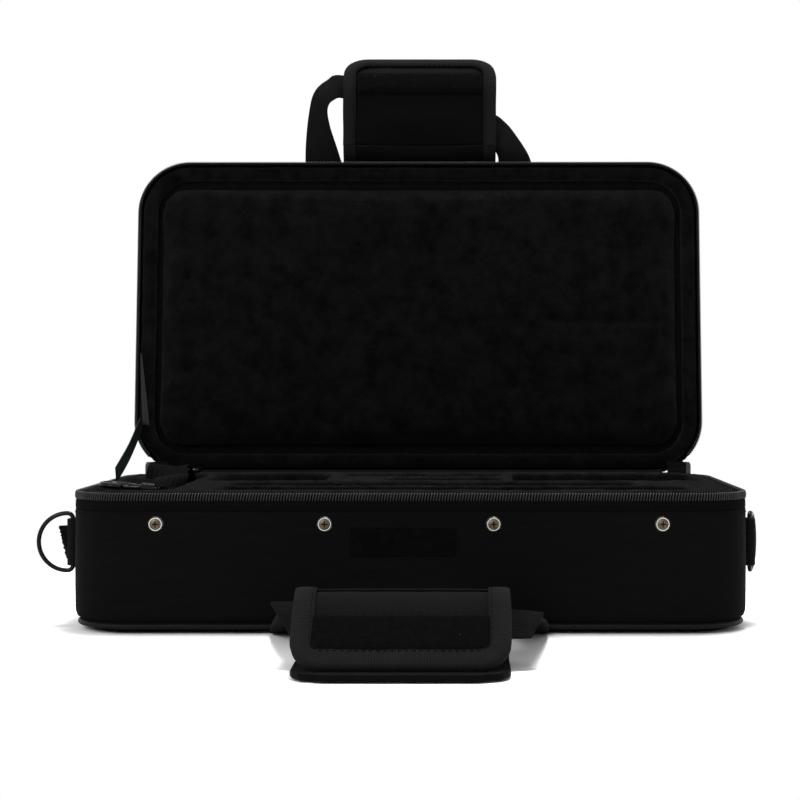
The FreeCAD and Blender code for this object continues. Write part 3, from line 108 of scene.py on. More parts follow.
class CaseSizes(bpy.types.PropertyGroup):
    half_length: length("Half length", "From the middle of the case to its end", COVER_HIGH.x)
    half_depth: length("Half depth", "From the middle of the case to its front", COVER_HIGH.y)
    corner_radius: length("Corner radius", "Radius of the case's corners in plan", 33 * MM)
    cover_top: length("Cover top", "Height of the lower cover's hem", COVER_HIGH.z)
    parting: length("Parting height", "Height of the line where the halves of the zip meet", HINGE.z)
    lid_hem: length("Lid hem", "Height of the lid cover's hem on the closed case", 83.4 * MM)
    lid_top: length("Lid top", "Height of the closed case", 103 * MM)
    bottom_round: length("Bottom round", "Radius of the bottom edge", 12 * MM)
    lid_round: length("Lid round", "Radius of the lid's top edge", 10 * MM)
    bead_radius: length("Bead radius", "Radius of the piping along the bottom and top edges", 1.5 * MM)
    coil_pitch: length("Coil pitch", "Distance from tooth to tooth of the zip", 1.5 * MM)
    coil_wire: length("Coil wire", "Radius of the zip coil's wire", 0.36 * MM)
    stitch_pitch: length("Stitch pitch", "Distance from stitch to stitch", 3.2 * MM)
    webbing_width: length("Webbing width", "Width of the handle and tab webbing", 25 * MM)
    webbing_thickness: length("Webbing thickness", "Thickness of the webbing", 1.5 * MM)
    wrap_half_width: length("Wrap half width", "Half the width of the padded hand wraps", WRAP_HIGH.x)
    wrap_thickness: length("Wrap thickness", "Thickness of the padded hand wraps", 4 * MM)
    wrap_corner: length("Wrap corner", "Radius of the hand wraps' free corners", 16 * MM)
    base_binding: length("Lower binding", "Width of the tape bound round the lower hand wrap", 9.8 * MM)
    lid_binding: length("Upper binding", "Width of the tape bound round the lid's hand wrap", 7.8 * MM)
    strip_half_width: length("Strip half width", "Half the length of the hook and loop strips", 41 * MM)


class CaseColours(bpy.types.PropertyGroup):
    nylon: colour("Nylon", "Woven cover cloth", (0.0044, 0.0044, 0.0045))
    padding: colour("Padding", "Cloth of the hand wraps", (0.0033, 0.0032, 0.0036))
    webbing: colour("Webbing", "Handle and tab webbing", (0.0072, 0.0072, 0.0076))
    plush: colour("Lid plush", "Pile of the lid's lining", (0.0056, 0.0057, 0.0058))
    # Painted light: the insert's plush is the lid's plush painted lighter, for the light that its upturned
    # pile catches from above.
    raised_plush: colour("Insert plush", "Pile of the fitted insert, brushed up", (0.0085, 0.0087, 0.0088))
    binding: colour("Binding", "Ribbed edge tape", (0.0082, 0.0082, 0.0086))
    tape: colour("Zip tape", "Tape that the zip's teeth are woven to", (0.0026, 0.0026, 0.0027))
    hook_tape: colour("Hook tape", "Hook and loop strips", (0.0036, 0.0036, 0.0037))
    coil: colour("Coil", "Zip teeth", (0.0145, 0.0145, 0.015))
    ribbon: colour("Ribbon", "Lid stay", (0.006, 0.0105, 0.009))
    wire: colour("Wire", "Rings, strap hooks and zip sliders", (0.003, 0.003, 0.0032))
    nickel: colour("Nickel", "Cup washers", (0.72, 0.7, 0.64))
    brass: colour("Brass", "Screws", (0.1, 0.082, 0.06))
    piping: colour("Piping", "Beads along the bottom and top edges", (0.0075, 0.0075, 0.0077))
    strap: colour("Strap", "Webbing of the shoulder strap", (0.002, 0.002, 0.0021))
    wood: colour("Wood", "Boards", (0.45, 0.31, 0.18))
    backing: colour("Backing", "Black cloth glued over the frames", (0.0034, 0.0034, 0.0035))
    foam: colour("Foam", "Padding behind the lid's lining", (0.0042, 0.0042, 0.0043))
    # Painted sheen: the stay ribbon's end sewn in the lid is painted a paler grey than the rest of the
    # ribbon, for the sheen it shows.
    satin: colour("Satin", "End of the lid stay's ribbon", (0.024, 0.0225, 0.0235))


class CaseStage(bpy.types.PropertyGroup):
    camera_place: bpy.props.FloatVectorProperty(
        name="Camera place", description="Where the photograph was taken from",
        default=(0.027, -1.04, 0.134), subtype="TRANSLATION", size=3)
    lens: amount("Lens", "Focal length on a 36 mm sensor", 81.26)
    axis_pixel: bpy.props.FloatVectorProperty(
        name="Axis pixel", description="Pixel that the camera points at", default=(461.0, 377.2), size=2)
    frame_size: amount("Frame size", "Width of the square frame in pixels", 800.0)
    sky: amount("Sky", "Strength of the light from all round", 0.46)
    lamp_power: amount("Lamp power", "Power of the lamp above the case", 24.0)


# Selecting and finishing

def deselect():
    if bpy.context.object and bpy.context.object.mode != "OBJECT":
        bpy.ops.object.mode_set(mode="OBJECT")
    bpy.ops.object.select_all(action="DESELECT")


def pick(piece):
    deselect()
    bpy.context.view_layer.objects.active = piece
    piece.select_set(True)
    return piece


def apply_place(piece):
    """Put a piece's place, turn and scale into its mesh."""
    pick(piece)
    bpy.ops.object.transform_apply(location=True, rotation=True, scale=True)


def add_modifier(piece, kind, **values):
    pick(piece)
    modifier = piece.modifiers.new(kind.title(), kind)
    for name, value in values.items():
        setattr(modifier, name, value)
    bpy.ops.object.modifier_apply(modifier=modifier.name)


def merge(piece, distance=1e-6, recalculate=True):
    pick(piece)
    bpy.ops.object.mode_set(mode="EDIT")
    bpy.ops.mesh.select_all(action="SELECT")
    bpy.ops.mesh.remove_doubles(threshold=distance)
    if recalculate:
        bpy.ops.mesh.normals_make_consistent(inside=False)
    bpy.ops.object.mode_set(mode="OBJECT")


def finish_piece(piece, material, body, replaces=(), smooth=50, opened=False):
    """Turn a lid piece open, smooth and colour the piece, and let it ride on its body."""
    if opened:
        piece.data.transform(OPENED)
    apply_place(piece)
    bpy.ops.object.shade_smooth_by_angle(angle=math.radians(smooth))
    piece.data.materials.clear()
    piece.data.materials.append(material)
    if body:
        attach(piece, body)
    if replaces:
        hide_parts(*replaces)
    return piece


# Ways of laying cloth

def lay_sheet(name, columns, rows, place):
    """A grid laid point by point. place(column, row) gives a point, and its UV in metres."""
    deselect()
    bpy.ops.mesh.primitive_grid_add(x_subdivisions=columns, y_subdivisions=rows, size=1)
    sheet = bpy.context.object
    sheet.name = name
    spots = {}
    for vertex in sheet.data.vertices:
        column, row = round((vertex.co.x + 0.5) * columns), round((vertex.co.y + 0.5) * rows)
        spots[vertex.index] = place(column, row)
        vertex.co = spots[vertex.index][0]
    for loop in sheet.data.loops:
        sheet.data.uv_layers[0].data[loop.index].uv = spots[loop.vertex_index][1]
    return sheet


def running_lengths(points):
    total, lengths = 0.0, [0.0]
    for before, after in zip(points, points[1:]):
        total += (Vector(after) - Vector(before)).length
        lengths.append(total)
    return lengths


def locate(lengths, goal):
    """Which stretch of a line a running length falls in, and how far along it that is, from 0 to 1."""
    index = min(max(bisect_left(lengths, goal) - 1, 0), len(lengths) - 2)
    share = (goal - lengths[index]) / max(lengths[index + 1] - lengths[index], 1e-9)
    return index, min(max(share, 0), 1)


def smooth_line(points, steps):
    """Points along a smooth curve through the given ones, evenly spaced."""
    points = [Vector(point) for point in points]
    padded = [2 * points[0] - points[1]] + points + [2 * points[-1] - points[-2]]
    fine = []
    for a, b, c, d in zip(padded, padded[1:], padded[2:], padded[3:]):
        for step in range(16):
            t = step / 16
            fine.append(0.5 * (2 * b + (c - a) * t + (2 * a - 5 * b + 4 * c - d) * t ** 2
                               + (3 * b - a - 3 * c + d) * t ** 3))
    fine.append(points[-1])
    lengths = running_lengths(fine)
    result = []
    for step in range(steps + 1):
        index, share = locate(lengths, lengths[-1] * step / steps)
        result.append(fine[index].lerp(fine[index + 1], share))
    return result


def thicken(sheet, thickness, offset=0, edge=0.0, segments=2, soft=False):
    """Give a laid sheet its thickness, with rounded edges or one level of smoothing where wanted."""
    add_modifier(sheet, "SOLIDIFY", thickness=thickness, offset=offset)
    if edge:
        add_modifier(sheet, "BEVEL", width=edge, segments=segments, limit_method="ANGLE", angle_limit=1.0)
    if soft:
        add_modifier(sheet, "SUBSURF", levels=1, render_levels=1)
    merge(sheet)
    return sheet


def lay_strap(name, line, across, width, thickness, crown=0.0, rows=6):
    """Webbing laid along a line. across gives the direction of its width, once or for each point."""
    lengths = running_lengths(line)

    def place(column, row):
        side = across[column] if isinstance(across, list) else Vector(across)
        shift = (row / rows - 0.5) * width
        before, after = line[max(column - 1, 0)], line[min(column + 1, len(line) - 1)]
        up = side.cross(after - before).normalized()
        rise = crown * (1 - (2 * row / rows - 1) ** 2)
        return line[column] + side.normalized() * shift + up * rise, (lengths[column], shift)

    return thicken(lay_sheet(name, len(line) - 1, rows, place), thickness, edge=thickness * 0.3)


def repeat(part, places):
    """Copy a small part to each place and join the copies into one mesh."""
    corners = [vertex.co.copy() for vertex in part.data.vertices]
    faces = [tuple(face.vertices) for face in part.data.polygons]
    points, polygons = [], []
    for place in places:
        start = len(points)
        points += [place @ corner for corner in corners]
        polygons += [tuple(index + start for index in face) for face in faces]
    mesh = bpy.data.meshes.new(part.name)
    mesh.from_pydata(points, [], polygons)
    part.data = mesh
    return part


def one_stitch(name, span, thick):
    deselect()
    bpy.ops.mesh.primitive_uv_sphere_add(segments=6, ring_count=5, radius=1)
    stitch = bpy.context.object
    stitch.name = name
    bpy.ops.transform.resize(value=(span / 2, thick / 2, thick / 2))
    apply_place(stitch)
    return stitch


def dotted(corners):
    """The corners of a stitched outline, with points between them along each side."""
    sides = zip(corners, corners[1:])
    return [a.lerp(b, k / SIDE_STEPS) for a, b in sides for k in range(SIDE_STEPS)] + corners[-1:]


def stitch_line(name, line, faces, body, span=2.3 * MM, thick=0.42 * MM, opened=False):
    """A row of stitches along a line. faces gives the outward direction at each point."""
    pitch = bpy.context.scene.case_sizes.stitch_pitch
    lengths = running_lengths(line)
    places = []
    for number in range(int(lengths[-1] / pitch)):
        index, share = locate(lengths, (number + 0.5) * pitch)
        point = line[index].lerp(line[index + 1], share)
        ahead = (line[index + 1] - line[index]).normalized()
        up = faces[index] if isinstance(faces, list) else Vector(faces)
        side = up.cross(ahead).normalized()
        up = ahead.cross(side).normalized()
        turn = Matrix((ahead, side, up)).transposed().to_4x4()
        places.append(Matrix.Translation(point) @ turn)
    stitches = repeat(one_stitch(name, span, thick), places)
    return finish_piece(stitches, thread_material(), body, opened=opened, smooth=180)


# The outline of the case in plan

def rim_length():
    sizes = bpy.context.scene.case_sizes
    straight = 4 * (sizes.half_length + sizes.half_depth - 2 * sizes.corner_radius)
    return straight + 2 * math.pi * sizes.corner_radius


def rim_point(distance, inset):
    """A point of the outline and its outward direction, counted from the middle of the back to the left."""
    sizes = bpy.context.scene.case_sizes
    radius = sizes.corner_radius
    far_x, far_y = sizes.half_length - radius, sizes.half_depth - radius
    centres = [Vector((x * far_x, y * far_y)) for x, y in ((-1, 1), (-1, -1), (1, -1), (1, 1))]
    quarter = math.pi * radius / 2
    here = Vector((0, sizes.half_depth))
    angle = math.pi / 2
    for number, straight in enumerate((far_x, 2 * far_y, 2 * far_x, 2 * far_y, far_x)):
        out = Vector((math.cos(angle), math.sin(angle)))
        ahead = Vector((-out.y, out.x))
        if distance <= straight or number == 4:
            return here + ahead * distance - out * inset, out
        distance -= straight
        if distance <= quarter:
            angle += distance / radius
            out = Vector((math.cos(angle), math.sin(angle)))
            return centres[number] + out * (radius - inset), out
        distance -= quarter
        angle += math.pi / 2
        here = centres[number] + Vector((math.cos(angle), math.sin(angle))) * radius


def back_distance(reach):
    """Distance along the outline of the point that lies a given way out along the back."""
    sizes = bpy.context.scene.case_sizes
    straight = sizes.half_length - sizes.corner_radius
    return straight + sizes.corner_radius * math.asin((reach - straight) / sizes.corner_radius)


def rim_stations(start=0.0, end=None, step=7 * MM):
    """Distances along the outline, close together round the corners."""
    end = rim_length() if end is None else end
    sizes = bpy.context.scene.case_sizes
    radius = sizes.corner_radius
    quarter = math.pi * radius / 2
    far_x, far_y = sizes.half_length - radius, sizes.half_depth - radius
    marks, here = [0.0], 0.0
    for span in (far_x, quarter, 2 * far_y, quarter, 2 * far_x, quarter, 2 * far_y, quarter, far_x):
        count = max(2, math.ceil(span / (step / 2 if span == quarter else step)))
        marks += [here + span * (k + 1) / count for k in range(count)]
        here += span
    return [start] + [mark for mark in marks if start + MM / 5 < mark < end - MM / 5] + [end]


def wrap_rim(name, profile, start=0.0, end=None):
    """Cloth laid round the outline: a profile of insets and heights."""
    stations = rim_stations(start, end)
    heights = running_lengths([Vector((inset, height, 0)) for inset, height in profile])

    def place(column, row):
        inset, height = profile[row]
        point, _ = rim_point(stations[column], inset)
        return Vector((point.x, point.y, height)), (stations[column], heights[row])

    return lay_sheet(name, len(stations) - 1, len(profile) - 1, place)


def close_end(piece, height):
    """Fill the open edge of a wrapped piece at one height with a flat face inside a narrow border."""
    merge(piece)
    bpy.ops.object.mode_set(mode="EDIT")
    bpy.ops.mesh.select_all(action="DESELECT")
    bpy.ops.object.mode_set(mode="OBJECT")
    used = {}
    for face in piece.data.polygons:
        for edge in face.edge_keys:
            used[edge] = used.get(edge, 0) + 1
    for edge in piece.data.edges:
        middle = (piece.data.vertices[edge.vertices[0]].co + piece.data.vertices[edge.vertices[1]].co) / 2
        edge.select = used.get(edge.key) == 1 and abs(middle.z - height) < 1e-5
    bpy.ops.object.mode_set(mode="EDIT")
    bpy.ops.mesh.select_mode(type="EDGE")
    bpy.ops.mesh.edge_face_add()
    bpy.ops.mesh.select_mode(type="FACE")
    bpy.ops.mesh.inset(thickness=4 * MM)
    bpy.ops.object.mode_set(mode="OBJECT")


def rim_line(inset, height, start=0.0, end=None):
    """Points along the outline and the outward direction at each."""
    line, faces = [], []
    for station in rim_stations(start, end, step=5 * MM):
        point, out = rim_point(station, inset)
        line.append(Vector((point.x, point.y, height)))
        faces.append(Vector((out.x, out.y, 0)))
    return line, faces


def arc_profile(centre, radius, first, last, steps):
    """Insets and heights round an arc, angles in degrees from straight outwards."""
    result = []
    for step in range(steps + 1):
        angle = math.radians(first + (last - first) * step / steps)
        result.append((centre[0] - radius * math.cos(angle), centre[1] + radius * math.sin(angle)))
    return result


# Node groups

def put(tree, kind, inputs=None, **settings):
    """Add a node, set its settings, and feed its inputs from values or from other nodes' outputs."""
    node = tree.nodes.new(kind)
    for name, value in settings.items():
        setattr(node, name, value)
    for name, value in (inputs or {}).items():
        socket = node.inputs[name]
        if isinstance(value, bpy.types.NodeSocket):
            tree.links.new(value, socket)
        else:
            socket.default_value = value
    return node


def math_node(tree, operation, first, second=0.0, third=0.0):
    node = put(tree, "ShaderNodeMath", {0: first, 1: second, 2: third}, operation=operation)
    return node.outputs[0]


def once(name):
    """Build a node group when it is first asked for, and hand out the same one after that."""
    def wrapped(build):
        return lambda: bpy.data.node_groups.get(name) or build(name)
    return wrapped


def ridges(tree, count):
    """Rounded ridges with a sharp valley between them: one ridge for each step of the count."""
    turned = math_node(tree, "MULTIPLY", count, math.pi)
    return math_node(tree, "ABSOLUTE", math_node(tree, "SINE", turned))


def new_group(name, inputs, outputs):
    """An empty node group with named inputs and outputs, and its two end nodes."""
    tree = bpy.data.node_groups.new(name, "ShaderNodeTree")
    for label, default in inputs.items():
        kind = "NodeSocketVector" if default is None else "NodeSocketFloat"
        socket = tree.interface.new_socket(label, in_out="INPUT", socket_type=kind)
        if default is not None:
            socket.default_value = default
    for label in outputs:
        kind = "NodeSocketVector" if label == "Vector" else "NodeSocketFloat"
        tree.interface.new_socket(label, in_out="OUTPUT", socket_type=kind)
    return tree, tree.nodes.new("NodeGroupInput"), tree.nodes.new("NodeGroupOutput")


@once("Cloth plane")
def cloth_plane_group(name):
    """Lays a cloth's threads flat on whichever side of the case a face looks towards."""
    tree, start, end = new_group(name, {"Position": None, "Facing": None}, ["Vector"])
    place = put(tree, "ShaderNodeSeparateXYZ", {0: start.outputs["Position"]})
    facing = put(tree, "ShaderNodeSeparateXYZ", {0: start.outputs["Facing"]})
    steep = 0.72
    sideways = math_node(tree, "GREATER_THAN", math_node(tree, "ABSOLUTE", facing.outputs[0]), steep)
    level = math_node(tree, "GREATER_THAN", math_node(tree, "ABSOLUTE", facing.outputs[2]), steep)
    across = put(tree, "ShaderNodeMix", {0: sideways, 2: place.outputs[0], 3: place.outputs[1]})
    along = put(tree, "ShaderNodeMix", {0: level, 2: place.outputs[2], 3: place.outputs[1]})
    joined = put(tree, "ShaderNodeCombineXYZ", {0: across.outputs[0], 1: along.outputs[0]})
    tree.links.new(joined.outputs[0], end.inputs["Vector"])
    return tree


@once("Plain weave")
def weave_group(name):
    """Plain weave: height of the threads, and a tone that changes from thread to thread."""
    tree, start, end = new_group(name, {"Vector": None, "Threads per metre": 2000.0}, ["Height", "Tone"])
    scaled = put(tree, "ShaderNodeVectorMath", {0: start.outputs["Vector"], "Scale": start.outputs[1]},
                 operation="SCALE")
    parts = put(tree, "ShaderNodeSeparateXYZ", {0: scaled.outputs[0]})
    counts, threads = [], []
    for part in parts.outputs[:2]:
        counts.append(math_node(tree, "FLOOR", part))
        turned = math_node(tree, "MULTIPLY", math_node(tree, "FRACT", part), math.pi)
        threads.append(math_node(tree, "SINE", turned))
    checker = math_node(tree, "FLOORED_MODULO", math_node(tree, "ADD", counts[0], counts[1]), 2.0)
    height = put(tree, "ShaderNodeMix", {0: checker, 2: threads[0], 3: threads[1]})
    streaks = put(tree, "ShaderNodeCombineXYZ", {0: math_node(tree, "MULTIPLY", parts.outputs[0], 0.02),
                                                 1: math_node(tree, "MULTIPLY", parts.outputs[1], 0.4)})
    tone = put(tree, "ShaderNodeTexNoise", {"Vector": streaks.outputs[0], "Scale": 1.0, "Detail": 3.0})
    tree.links.new(height.outputs[0], end.inputs["Height"])
    tree.links.new(tone.outputs[0], end.inputs["Tone"])
    return tree


@once("Ribs")
def rib_group(name):
    """Lengthwise ribs with slanting threads, for webbing, and plain cross ribs for tape."""
    inputs = {"Vector": None, "Rib pitch": 1.6 * MM, "Thread pitch": 1.1 * MM, "Slant": 1.0}
    tree, start, end = new_group(name, inputs, ["Height", "Tone"])
    parts = put(tree, "ShaderNodeSeparateXYZ", {0: start.outputs["Vector"]})
    rib = math_node(tree, "DIVIDE", parts.outputs[1], start.outputs["Rib pitch"])
    way = math_node(tree, "PINGPONG", rib, 1.0)
    slant = math_node(tree, "MULTIPLY", way, start.outputs["Slant"])
    straight = math_node(tree, "DIVIDE", parts.outputs[0], start.outputs["Thread pitch"])
    strand = ridges(tree, math_node(tree, "ADD", straight, slant))
    ridge = math_node(tree, "MULTIPLY", ridges(tree, rib), 0.6)
    height = math_node(tree, "MULTIPLY_ADD", strand, 0.8, ridge)
    tone = put(tree, "ShaderNodeTexNoise", {"Vector": start.outputs["Vector"], "Scale": 90.0, "Detail": 4.0})
    tree.links.new(height, end.inputs["Height"])
    tree.links.new(tone.outputs[0], end.inputs["Tone"])
    return tree


@once("Pile")
def pile_group(name):
    """Fine upright pile that lies in brushed patches."""
    inputs = {"Vector": None, "Tuft": 1.2 * MM, "Patch": 20 * MM}
    tree, start, end = new_group(name, inputs, ["Height", "Tone"])
    layers = []
    for size, detail, roughness in (("Tuft", 4.0, 0.7), ("Patch", 7.0, 0.72)):
        scale = math_node(tree, "DIVIDE", 1.0, start.outputs[size])
        layer = put(tree, "ShaderNodeTexNoise", {"Vector": start.outputs["Vector"], "Scale": scale,
                                                 "Detail": detail, "Roughness": roughness})
        layers.append(layer.outputs[0])
    fine, brushed = layers
    tree.links.new(math_node(tree, "MULTIPLY_ADD", brushed, 1.6, fine), end.inputs["Height"])
    tree.links.new(brushed, end.inputs["Tone"])
    return tree


@once("Lint")
def lint_group(name):
    """Specks of dust and lint: a mask that is one on a speck."""
    tree, start, end = new_group(name, {"Vector": None, "Amount": 0.5}, ["Mask"])
    place = start.outputs["Vector"]
    cells = put(tree, "ShaderNodeTexVoronoi", {"Vector": place, "Scale": 170.0})
    drift = put(tree, "ShaderNodeTexNoise", {"Vector": place, "Scale": 12.0, "Detail": 2.0})
    speck_radius, dusty_above = 0.06, 0.56
    near = math_node(tree, "LESS_THAN", cells.outputs["Distance"], speck_radius)
    here = math_node(tree, "GREATER_THAN", drift.outputs[0], dusty_above)
    mask = math_node(tree, "MULTIPLY", math_node(tree, "MULTIPLY", near, here), start.outputs["Amount"])
    tree.links.new(mask, end.inputs["Mask"])
    return tree


# Materials

class Finish:
    """A material in the making: its Principled shader, and what its patterns and colours feed."""

    def __init__(self, name, colour, roughness=0.85, specular=0.02, metallic=0.0, sheen=0.0,
                 sheen_roughness=0.5):
        material = bpy.data.materials.new(name)
        material.use_nodes = True
        self.tree = material.node_tree
        self.shader = self.tree.nodes["Principled BSDF"]
        self.coords = put(self.tree, "ShaderNodeTexCoord")
        self.colour = getattr(bpy.context.scene.case_colours, colour)
        self.base = None
        values = {"Roughness": roughness, "Specular IOR Level": specular, "Metallic": metallic,
                  "Sheen Weight": sheen, "Sheen Roughness": sheen_roughness}
        for label, value in values.items():
            self.shader.inputs[label].default_value = value

    def pattern(self, group, along, values=None):
        """Place a pattern group, read along the piece's own UV map or over its position."""
        inputs = {"Vector": self.coords.outputs[along], **(values or {})}
        return put(self.tree, "ShaderNodeGroup", inputs, node_tree=group).outputs

    def texture(self, kind, **inputs):
        """Add a texture that is read over the piece's position."""
        return put(self.tree, kind, {"Vector": self.coords.outputs["Object"], **inputs})

    def weave(self, threads):
        """Plain weave along the piece, with so many threads to the metre."""
        return self.pattern(weave_group(), "UV", {"Threads per metre": threads})

    def cross_ribs(self, thread, rib=30 * MM):
        """Ribs that run straight across a tape, one for each thread."""
        return self.pattern(rib_group(), "UV", {"Rib pitch": rib, "Thread pitch": thread, "Slant": 0.0})

    def pile(self, tuft, patch):
        """Upright pile, given the size of a tuft and of a brushed patch."""
        return self.pattern(pile_group(), "Object", {"Tuft": tuft, "Patch": patch})

    def blend(self, share, first, second):
        """Mix two colours into the base colour."""
        mix = put(self.tree, "ShaderNodeMix", {0: share, 6: first, 7: second}, data_type="RGBA")
        self.base = mix.outputs[2]
        self.tree.links.new(self.base, self.shader.inputs["Base Color"])

    def tint(self, tone, spread):
        """Colour the material, lighter and darker with a tone."""
        low, high = ([value * share for value in self.colour] + [1] for share in (1 - spread, 1 + spread))
        self.blend(tone, low, high)

    def dust(self, amount, grey):
        """Scatter specks of lint over the colour."""
        specks = self.pattern(lint_group(), "Object", {"Amount": amount})
        self.blend(specks["Mask"], self.base, (grey, grey, grey, 1))

    def bump(self, height, depth, strength=1.0):
        """Raise the surface by a height pattern, depth metres for a step of one."""
        bump = put(self.tree, "ShaderNodeBump", {"Height": height, "Distance": depth, "Strength": strength})
        self.tree.links.new(bump.outputs[0], self.shader.inputs["Normal"])

    def mottle(self, ribs, height_share, tone_share):
        """A tone that is part ribs and part blotches."""
        blotches = math_node(self.tree, "MULTIPLY", ribs["Tone"], tone_share)
        return math_node(self.tree, "MULTIPLY_ADD", ribs["Height"], height_share, blotches)

    def wear(self, scale, detail, smoothest, roughest, spread, depth):
        """Uneven wear, which shows in the colour, the roughness and the height."""
        worn = self.texture("ShaderNodeTexNoise", Scale=scale, Detail=detail).outputs[0]
        self.tint(worn, spread)
        rough = put(self.tree, "ShaderNodeMapRange", {0: worn, 3: smoothest, 4: roughest})
        self.tree.links.new(rough.outputs[0], self.shader.inputs["Roughness"])
        self.bump(worn, depth)


def material_called(name, colour, **shader):
    """Make a material when it is first asked for, and hand out the same one after that."""
    def wrapped(dress):
        def material():
            if name not in bpy.data.materials:
                dress(Finish(name, colour, **shader))
            return bpy.data.materials[name]
        return material
    return wrapped


@material_called("woven_nylon", "nylon", roughness=0.6, specular=0.008, sheen=0.006, sheen_roughness=0.3)
def nylon_material(cloth):
    """The covers' weave, laid flat on each side of the case, with a slow sag in the cloth."""
    place, facing = cloth.coords.outputs["Object"], cloth.coords.outputs["Normal"]
    plane = put(cloth.tree, "ShaderNodeGroup", {"Position": place, "Facing": facing},
                node_tree=cloth_plane_group())
    weave = put(cloth.tree, "ShaderNodeGroup", {"Vector": plane.outputs[0], "Threads per metre": 1500.0},
                node_tree=weave_group()).outputs
    cloth.tint(weave["Tone"], 0.35)
    cloth.dust(0.3, 0.03)
    sag = cloth.texture("ShaderNodeTexNoise", Scale=16.0, Detail=2.0).outputs[0]
    cloth.bump(math_node(cloth.tree, "MULTIPLY_ADD", sag, 5.0, weave["Height"]), 0.12 * MM, 0.7)


@material_called("ribbed_webbing", "webbing", sheen=0.012)
def webbing_material(webbing):
    ribs = webbing.pattern(rib_group(), "UV")
    webbing.tint(webbing.mottle(ribs, 0.55, 0.35), 0.75)
    webbing.dust(0.3, 0.04)
    webbing.bump(ribs["Height"], 0.5 * MM)


@material_called("strap_webbing", "strap", roughness=0.5)
def strap_material(webbing):
    ribs = webbing.pattern(rib_group(), "UV")
    webbing.tint(ribs["Height"], 0.6)
    webbing.bump(ribs["Height"], 0.3 * MM)


@material_called("bead_piping", "piping", roughness=0.42, specular=0.08)
def piping_material(bead):
    weave = bead.weave(1500.0)
    bead.tint(weave["Tone"], 0.4)
    bead.dust(0.2, 0.03)
    bead.bump(weave["Height"], 0.08 * MM)


@material_called("edge_binding", "binding", sheen=0.012)
def binding_material(tape):
    ribs = tape.cross_ribs(1.3 * MM, rib=20 * MM)
    tape.tint(tape.mottle(ribs, 0.5, 0.4), 0.6)
    tape.dust(0.3, 0.045)
    tape.bump(ribs["Height"], 0.22 * MM)


@material_called("zip_tape", "tape")
def zip_tape_material(tape):
    ribs = tape.cross_ribs(1.2 * MM)
    tape.tint(ribs["Height"], 0.35)
    tape.dust(0.2, 0.03)
    tape.bump(ribs["Height"], 0.12 * MM)


PLUSH_SHADER = {"roughness": 0.95, "specular": 0.0, "sheen": 0.035, "sheen_roughness": 0.3}


def lay_pile(plush):
    """Short pile that lies in brushed patches."""
    pile = plush.pile(1.0 * MM, 11 * MM)
    patches = put(plush.tree, "ShaderNodeMapRange", {0: pile["Tone"], 1: 0.34, 2: 0.68})
    plush.tint(patches.outputs[0], 0.5)
    plush.dust(0.4, 0.035)
    plush.bump(pile["Height"], 1.6 * MM)


@material_called("short_plush", "plush", **PLUSH_SHADER)
def plush_material(plush):
    """The lid's plush, which lies flat."""
    lay_pile(plush)


@material_called("raised_plush", "raised_plush", **PLUSH_SHADER)
def insert_plush_painted_light_material(plush):
    """The insert's plush: the same pile as the lid's, painted a lighter colour that stands for the extra
    light it catches from above.
    """
    lay_pile(plush)


@material_called("hook_and_loop", "hook_tape", roughness=0.95)
def hook_tape_material(tape):
    pile = tape.pile(0.9 * MM, 4 * MM)
    tape.tint(pile["Tone"], 0.9)
    tape.dust(0.7, 0.05)
    tape.bump(pile["Height"], 1.4 * MM)


@material_called("wrap_cloth", "padding", roughness=0.55, sheen=0.03, sheen_roughness=0.3)
def padding_material(cloth):
    weave = cloth.weave(1700.0)
    cloth.tint(weave["Tone"], 0.5)
    cloth.dust(0.3, 0.03)
    cloth.bump(weave["Height"], 0.12 * MM)


@material_called("sewing_thread", "binding")
def thread_material(thread):
    twist = thread.texture("ShaderNodeTexWave", Scale=900.0, Distortion=2.0).outputs[1]
    thread.tint(twist, 0.4)
    thread.bump(twist, 0.1 * MM)


@material_called("zip_coil", "coil", specular=0.3)
def coil_material(coil):
    coil.wear(scale=700.0, detail=3.0, smoothest=0.3, roughest=0.55, spread=0.5, depth=0.1 * MM)


@material_called("stay_ribbon", "ribbon", roughness=0.5, specular=0.08)
def ribbon_material(ribbon):
    ribs = ribbon.cross_ribs(0.9 * MM)
    ribbon.tint(ribs["Height"], 0.5)
    ribbon.bump(ribs["Height"], 0.25 * MM)


# Painted sheen: the same ribbon as the stay, in a paler colour that stands for the sheen on its sewn end.
@material_called("grey_satin", "satin", roughness=0.45, specular=0.05)
def ribbon_end_painted_sheen_material(ribbon):
    ribs = ribbon.cross_ribs(0.6 * MM)
    ribbon.tint(ribs["Height"], 0.25)
    ribbon.bump(ribs["Height"], 0.1 * MM)


@material_called("black_wire", "wire", specular=0.14)
def wire_material(wire):
    wire.wear(scale=260.0, detail=4.0, smoothest=0.1, roughest=0.26, spread=0.5, depth=0.08 * MM)


@material_called("worn_nickel", "nickel", metallic=1.0)
def nickel_material(nickel):
    nickel.wear(scale=380.0, detail=5.0, smoothest=0.18, roughest=0.42, spread=0.3, depth=0.1 * MM)


